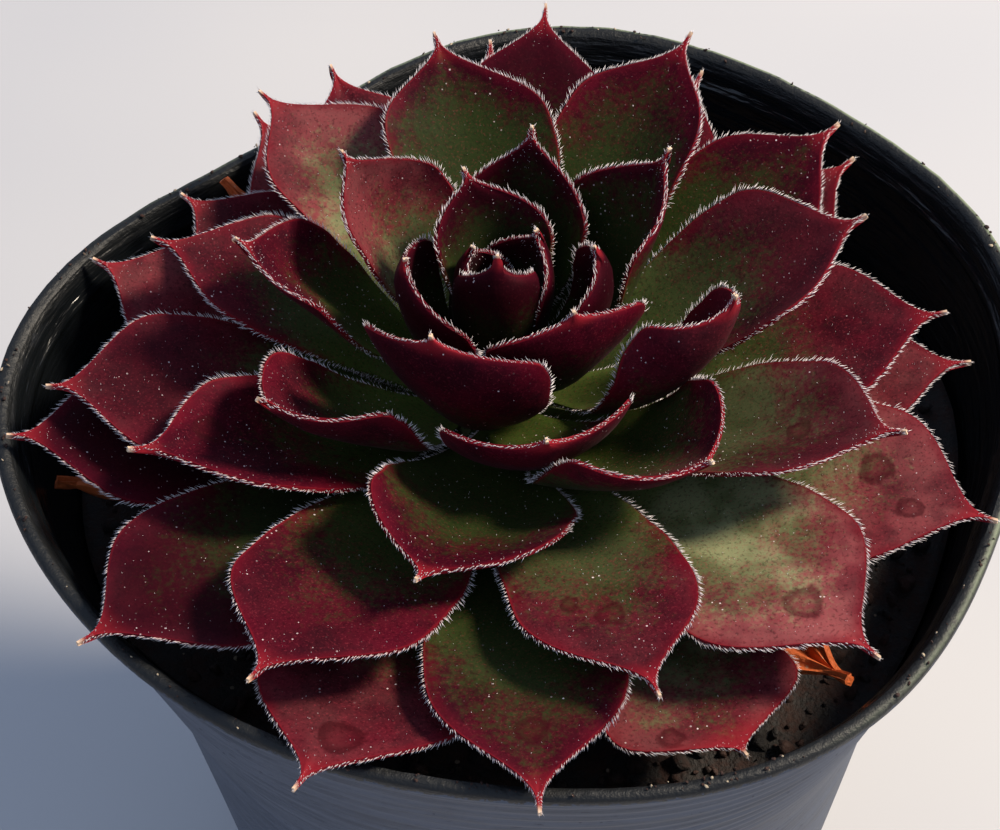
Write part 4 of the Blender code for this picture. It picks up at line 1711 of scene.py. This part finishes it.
@dataclass
class Soil:
    """The potting soil: a rough bed with loose crumbs on it."""

    pot: Pot
    finishes: Finishes
    gap: float = 0.3 * MM
    crumbs: int = 2600
    seed: int = 23
    rings: int = 46
    sides: int = 144
    levels: tuple[float, ...] = (12 * MM, 24 * MM, 36 * MM, 46 * MM, 54 * MM, 60 * MM, SOIL_LEVEL)
    lump: float = 0.45 * MM
    clod: float = 0.9 * MM
    stem_hole: float = 5.9 * MM
    hole_levels: Span = (SOIL_LEVEL - 4 * MM, SOIL_LEVEL - 12.3 * MM)

    def reach(self, level: float, gap: float, angle: Array) -> Array:
        """How far out the soil reaches at angles on a level, with a gap to the pot's wall."""
        out = self.pot.push(angle, np.full(len(angle), level))
        return self.pot.radius(level) - self.pot.wall - gap + out

    def bed_height(self, x: Array, y: Array) -> Array:
        """The bed's height at places.

        Args:
            x: how far right each place is.
            y: how far back each is.

        Returns:
            The height at each place.
        """
        flat = np.stack((x, y, x * 0), 1)
        angle = np.arctan2(y, x)
        share = np.hypot(x, y) / (self.pot.radius(SOIL_LEVEL) - self.pot.wall)
        lump = np.sin(3 * angle + 1.3) * np.sin(7 * share + 0.4) + 0.6 * np.sin(8 * angle - 11 * share)
        rough = 0.5 * soft_noise(flat, 260.0, 4.0) + 0.35 * soft_noise(flat, 620.0, 8.0)
        return SOIL_LEVEL + self.lump * lump + self.clod * rough

    def build(self) -> None:
        """Build the bed, scatter the crumbs and join them to it."""
        bed = self.build_bed()
        crumbs = self.build_crumbs()
        only(bed)
        crumbs.select_set(True)
        bpy.ops.object.join()
        soil = bpy.context.object
        soil.name = "soil_and_crumbs"
        dress(soil, "potting_soil", "soil", self.finishes.soil)

    def build_bed(self) -> Piece:
        """A closed plug that fills the pot, with a rough top.

        Returns:
            The bed.
        """
        sides = self.sides
        bottom = self.pot.floor + self.gap
        angle = np.linspace(0, 2 * pi, sides, endpoint=False)
        rows = []
        for level in (bottom, *self.levels):
            edge = self.reach(level, self.gap, angle)
            rows.append(directions(angle) * edge[:, None] + UP * level)
        rim = rows.pop()
        hole = np.array((*ROSETTE_AXIS, 0.0)) + self.stem_hole * directions(angle)
        for share in np.linspace(1, 0, self.rings):
            row = hole * (1 - share) + rim * share
            row[:, 2] = self.bed_height(row[:, 0], row[:, 1])
            rows.append(row)
        for depth in self.hole_levels:
            rows.append(hole + UP * depth)
        ends = np.array(((0.0, 0.0, bottom), (*ROSETTE_AXIS, self.hole_levels[1])))
        points = np.concatenate((*rows, ends))
        faces = []
        for row in range(len(rows) - 1):
            for k in range(sides):
                n = (k + 1) % sides
                a, b, c, d = row * sides + k, row * sides + n, (row + 1) * sides + n, (row + 1) * sides + k
                faces += [(a, b, c), (a, c, d)]
        low, deep = len(points) - 2, len(points) - 1
        last = (len(rows) - 1) * sides
        for k in range(sides):
            n = (k + 1) % sides
            faces += [(n, k, low), (last + k, last + n, deep)]
        bed = mesh_object("soil_bed", points, np.array(faces))
        paint(bed.data, "crumb", np.full(len(points), 0.3))
        face_outwards(bed)
        bpy.ops.object.shade_smooth()
        return bed

    def build_crumbs(self) -> Piece:
        """Crumbs, chips and a few pale grains that lie on the bed.

        Returns:
            The crumbs.
        """
        random = np.random.default_rng(self.seed)
        angle = random.uniform(0, 2 * pi, self.crumbs)
        share = np.sqrt(random.uniform(0.04, 0.94, self.crumbs))
        edge = self.reach(SOIL_LEVEL, 1 * MM, angle)
        x, y = share * edge * np.cos(angle), share * edge * np.sin(angle)
        size = random.gamma(2.2, 0.15, self.crumbs).clip(0.15, 0.9) * MM
        height = self.bed_height(x, y) + size * 0.25
        tone = random.uniform(0, 1, self.crumbs) ** 1.1
        keep = np.hypot(x - ROSETTE_AXIS[0], y - ROSETTE_AXIS[1]) > self.stem_hole + size
        middle = np.stack((x, y, height), 1)[keep]
        return scatter_crumbs("soil_crumbs", middle, size[keep], random, tone[keep])


# Stage


@dataclass
class Studio:
    """The pale floor, the soft lights and the camera at the photograph's angle."""

    finishes: Finishes
    aim: Triple = (-3.2 * MM, -3.8 * MM, POT_HEIGHT)
    elevation: float = 50.0
    distance: float = 280 * MM
    lens: float = 112.14
    sensor: float = 36.0
    nearest: float = 10 * MM
    floor_drop: float = 0.05 * MM
    sky: Colour = (0.54, 0.66, 0.9)
    sky_strength: float = 0.62

    def build(self) -> None:
        """Set the stage."""
        self.build_floor()
        self.build_lights()
        self.build_camera()

    def build_floor(self) -> None:
        """A broad pale tabletop under the pot."""
        clear_selection()
        place = (0, 0, -self.floor_drop)
        bpy.ops.mesh.primitive_grid_add(x_subdivisions=8, y_subdivisions=8, size=4.0, location=place)
        floor = bpy.context.object
        floor.name = "tabletop"
        bpy.ops.object.transform_apply(location=True, rotation=True, scale=True)
        floor.data.materials.append(self.finishes.floor)

    def build_lights(self) -> None:
        """A soft key light from the back right, a weak fill and a pale sky."""
        self.area("Key light", (0.7, 0.16, 0.76), 0.2, 17.0, (1.0, 0.87, 0.7))
        self.area("Fill light", (-0.5, -0.5, 0.75), 0.6, 0.35, (0.6, 0.76, 1.0))
        world = bpy.data.worlds.new("Pale sky")
        bpy.context.scene.world = world
        world.use_nodes = True
        sky = world.node_tree.nodes["Background"]
        sky.inputs["Color"].default_value = (*self.sky, 1.0)
        sky.inputs["Strength"].default_value = self.sky_strength
        bpy.context.scene.view_settings.view_transform = "Standard"

    def area(self, name: str, where: Triple, size: float, power: float, colour: Colour) -> None:
        """Add a square light that faces the plant.

        Args:
            name: the light's name.
            where: its place.
            size: the length of its side.
            power: its power in watts.
            colour: its colour.
        """
        lamp = bpy.data.lights.new(name, "AREA")
        lamp.size = size
        lamp.energy = power
        lamp.color = colour
        light = bpy.data.objects.new(name, lamp)
        bpy.context.scene.collection.objects.link(light)
        light.location = where
        light.rotation_euler = (Vector(self.aim) - Vector(where)).to_track_quat("-Z", "Y").to_euler()

    def build_camera(self) -> None:
        """The camera, as the photograph was taken."""
        camera = bpy.data.cameras.new("Camera")
        camera.lens = self.lens
        camera.sensor_width = self.sensor
        camera.clip_start = self.nearest
        eye = bpy.data.objects.new("Camera", camera)
        bpy.context.scene.collection.objects.link(eye)
        tilt = radians(self.elevation)
        back, up = self.distance * cos(tilt), self.distance * sin(tilt)
        eye.location = (self.aim[0], self.aim[1] - back, self.aim[2] + up)
        eye.rotation_euler = (pi / 2 - tilt, 0.0, 0.0)
        bpy.context.scene.camera = eye


def main() -> None:
    """Build and dress every piece, then set the stage."""
    logging.basicConfig(level=logging.INFO, format="%(name)s: %(message)s")
    finishes = Finishes.build()
    pot = Pot(finishes)
    pot.build()
    crust = RimCrust(pot, finishes).build()
    dress(crust, "pot_plastic", None, finishes.soil)
    Soil(pot, finishes).build()
    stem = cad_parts["stem"]
    stem.data.materials.clear()
    stem.data.materials.append(finishes.stem)
    Rosette(finishes).build()
    Studio(finishes).build()
    clear_selection()


if __name__ == "__main__":
    main()
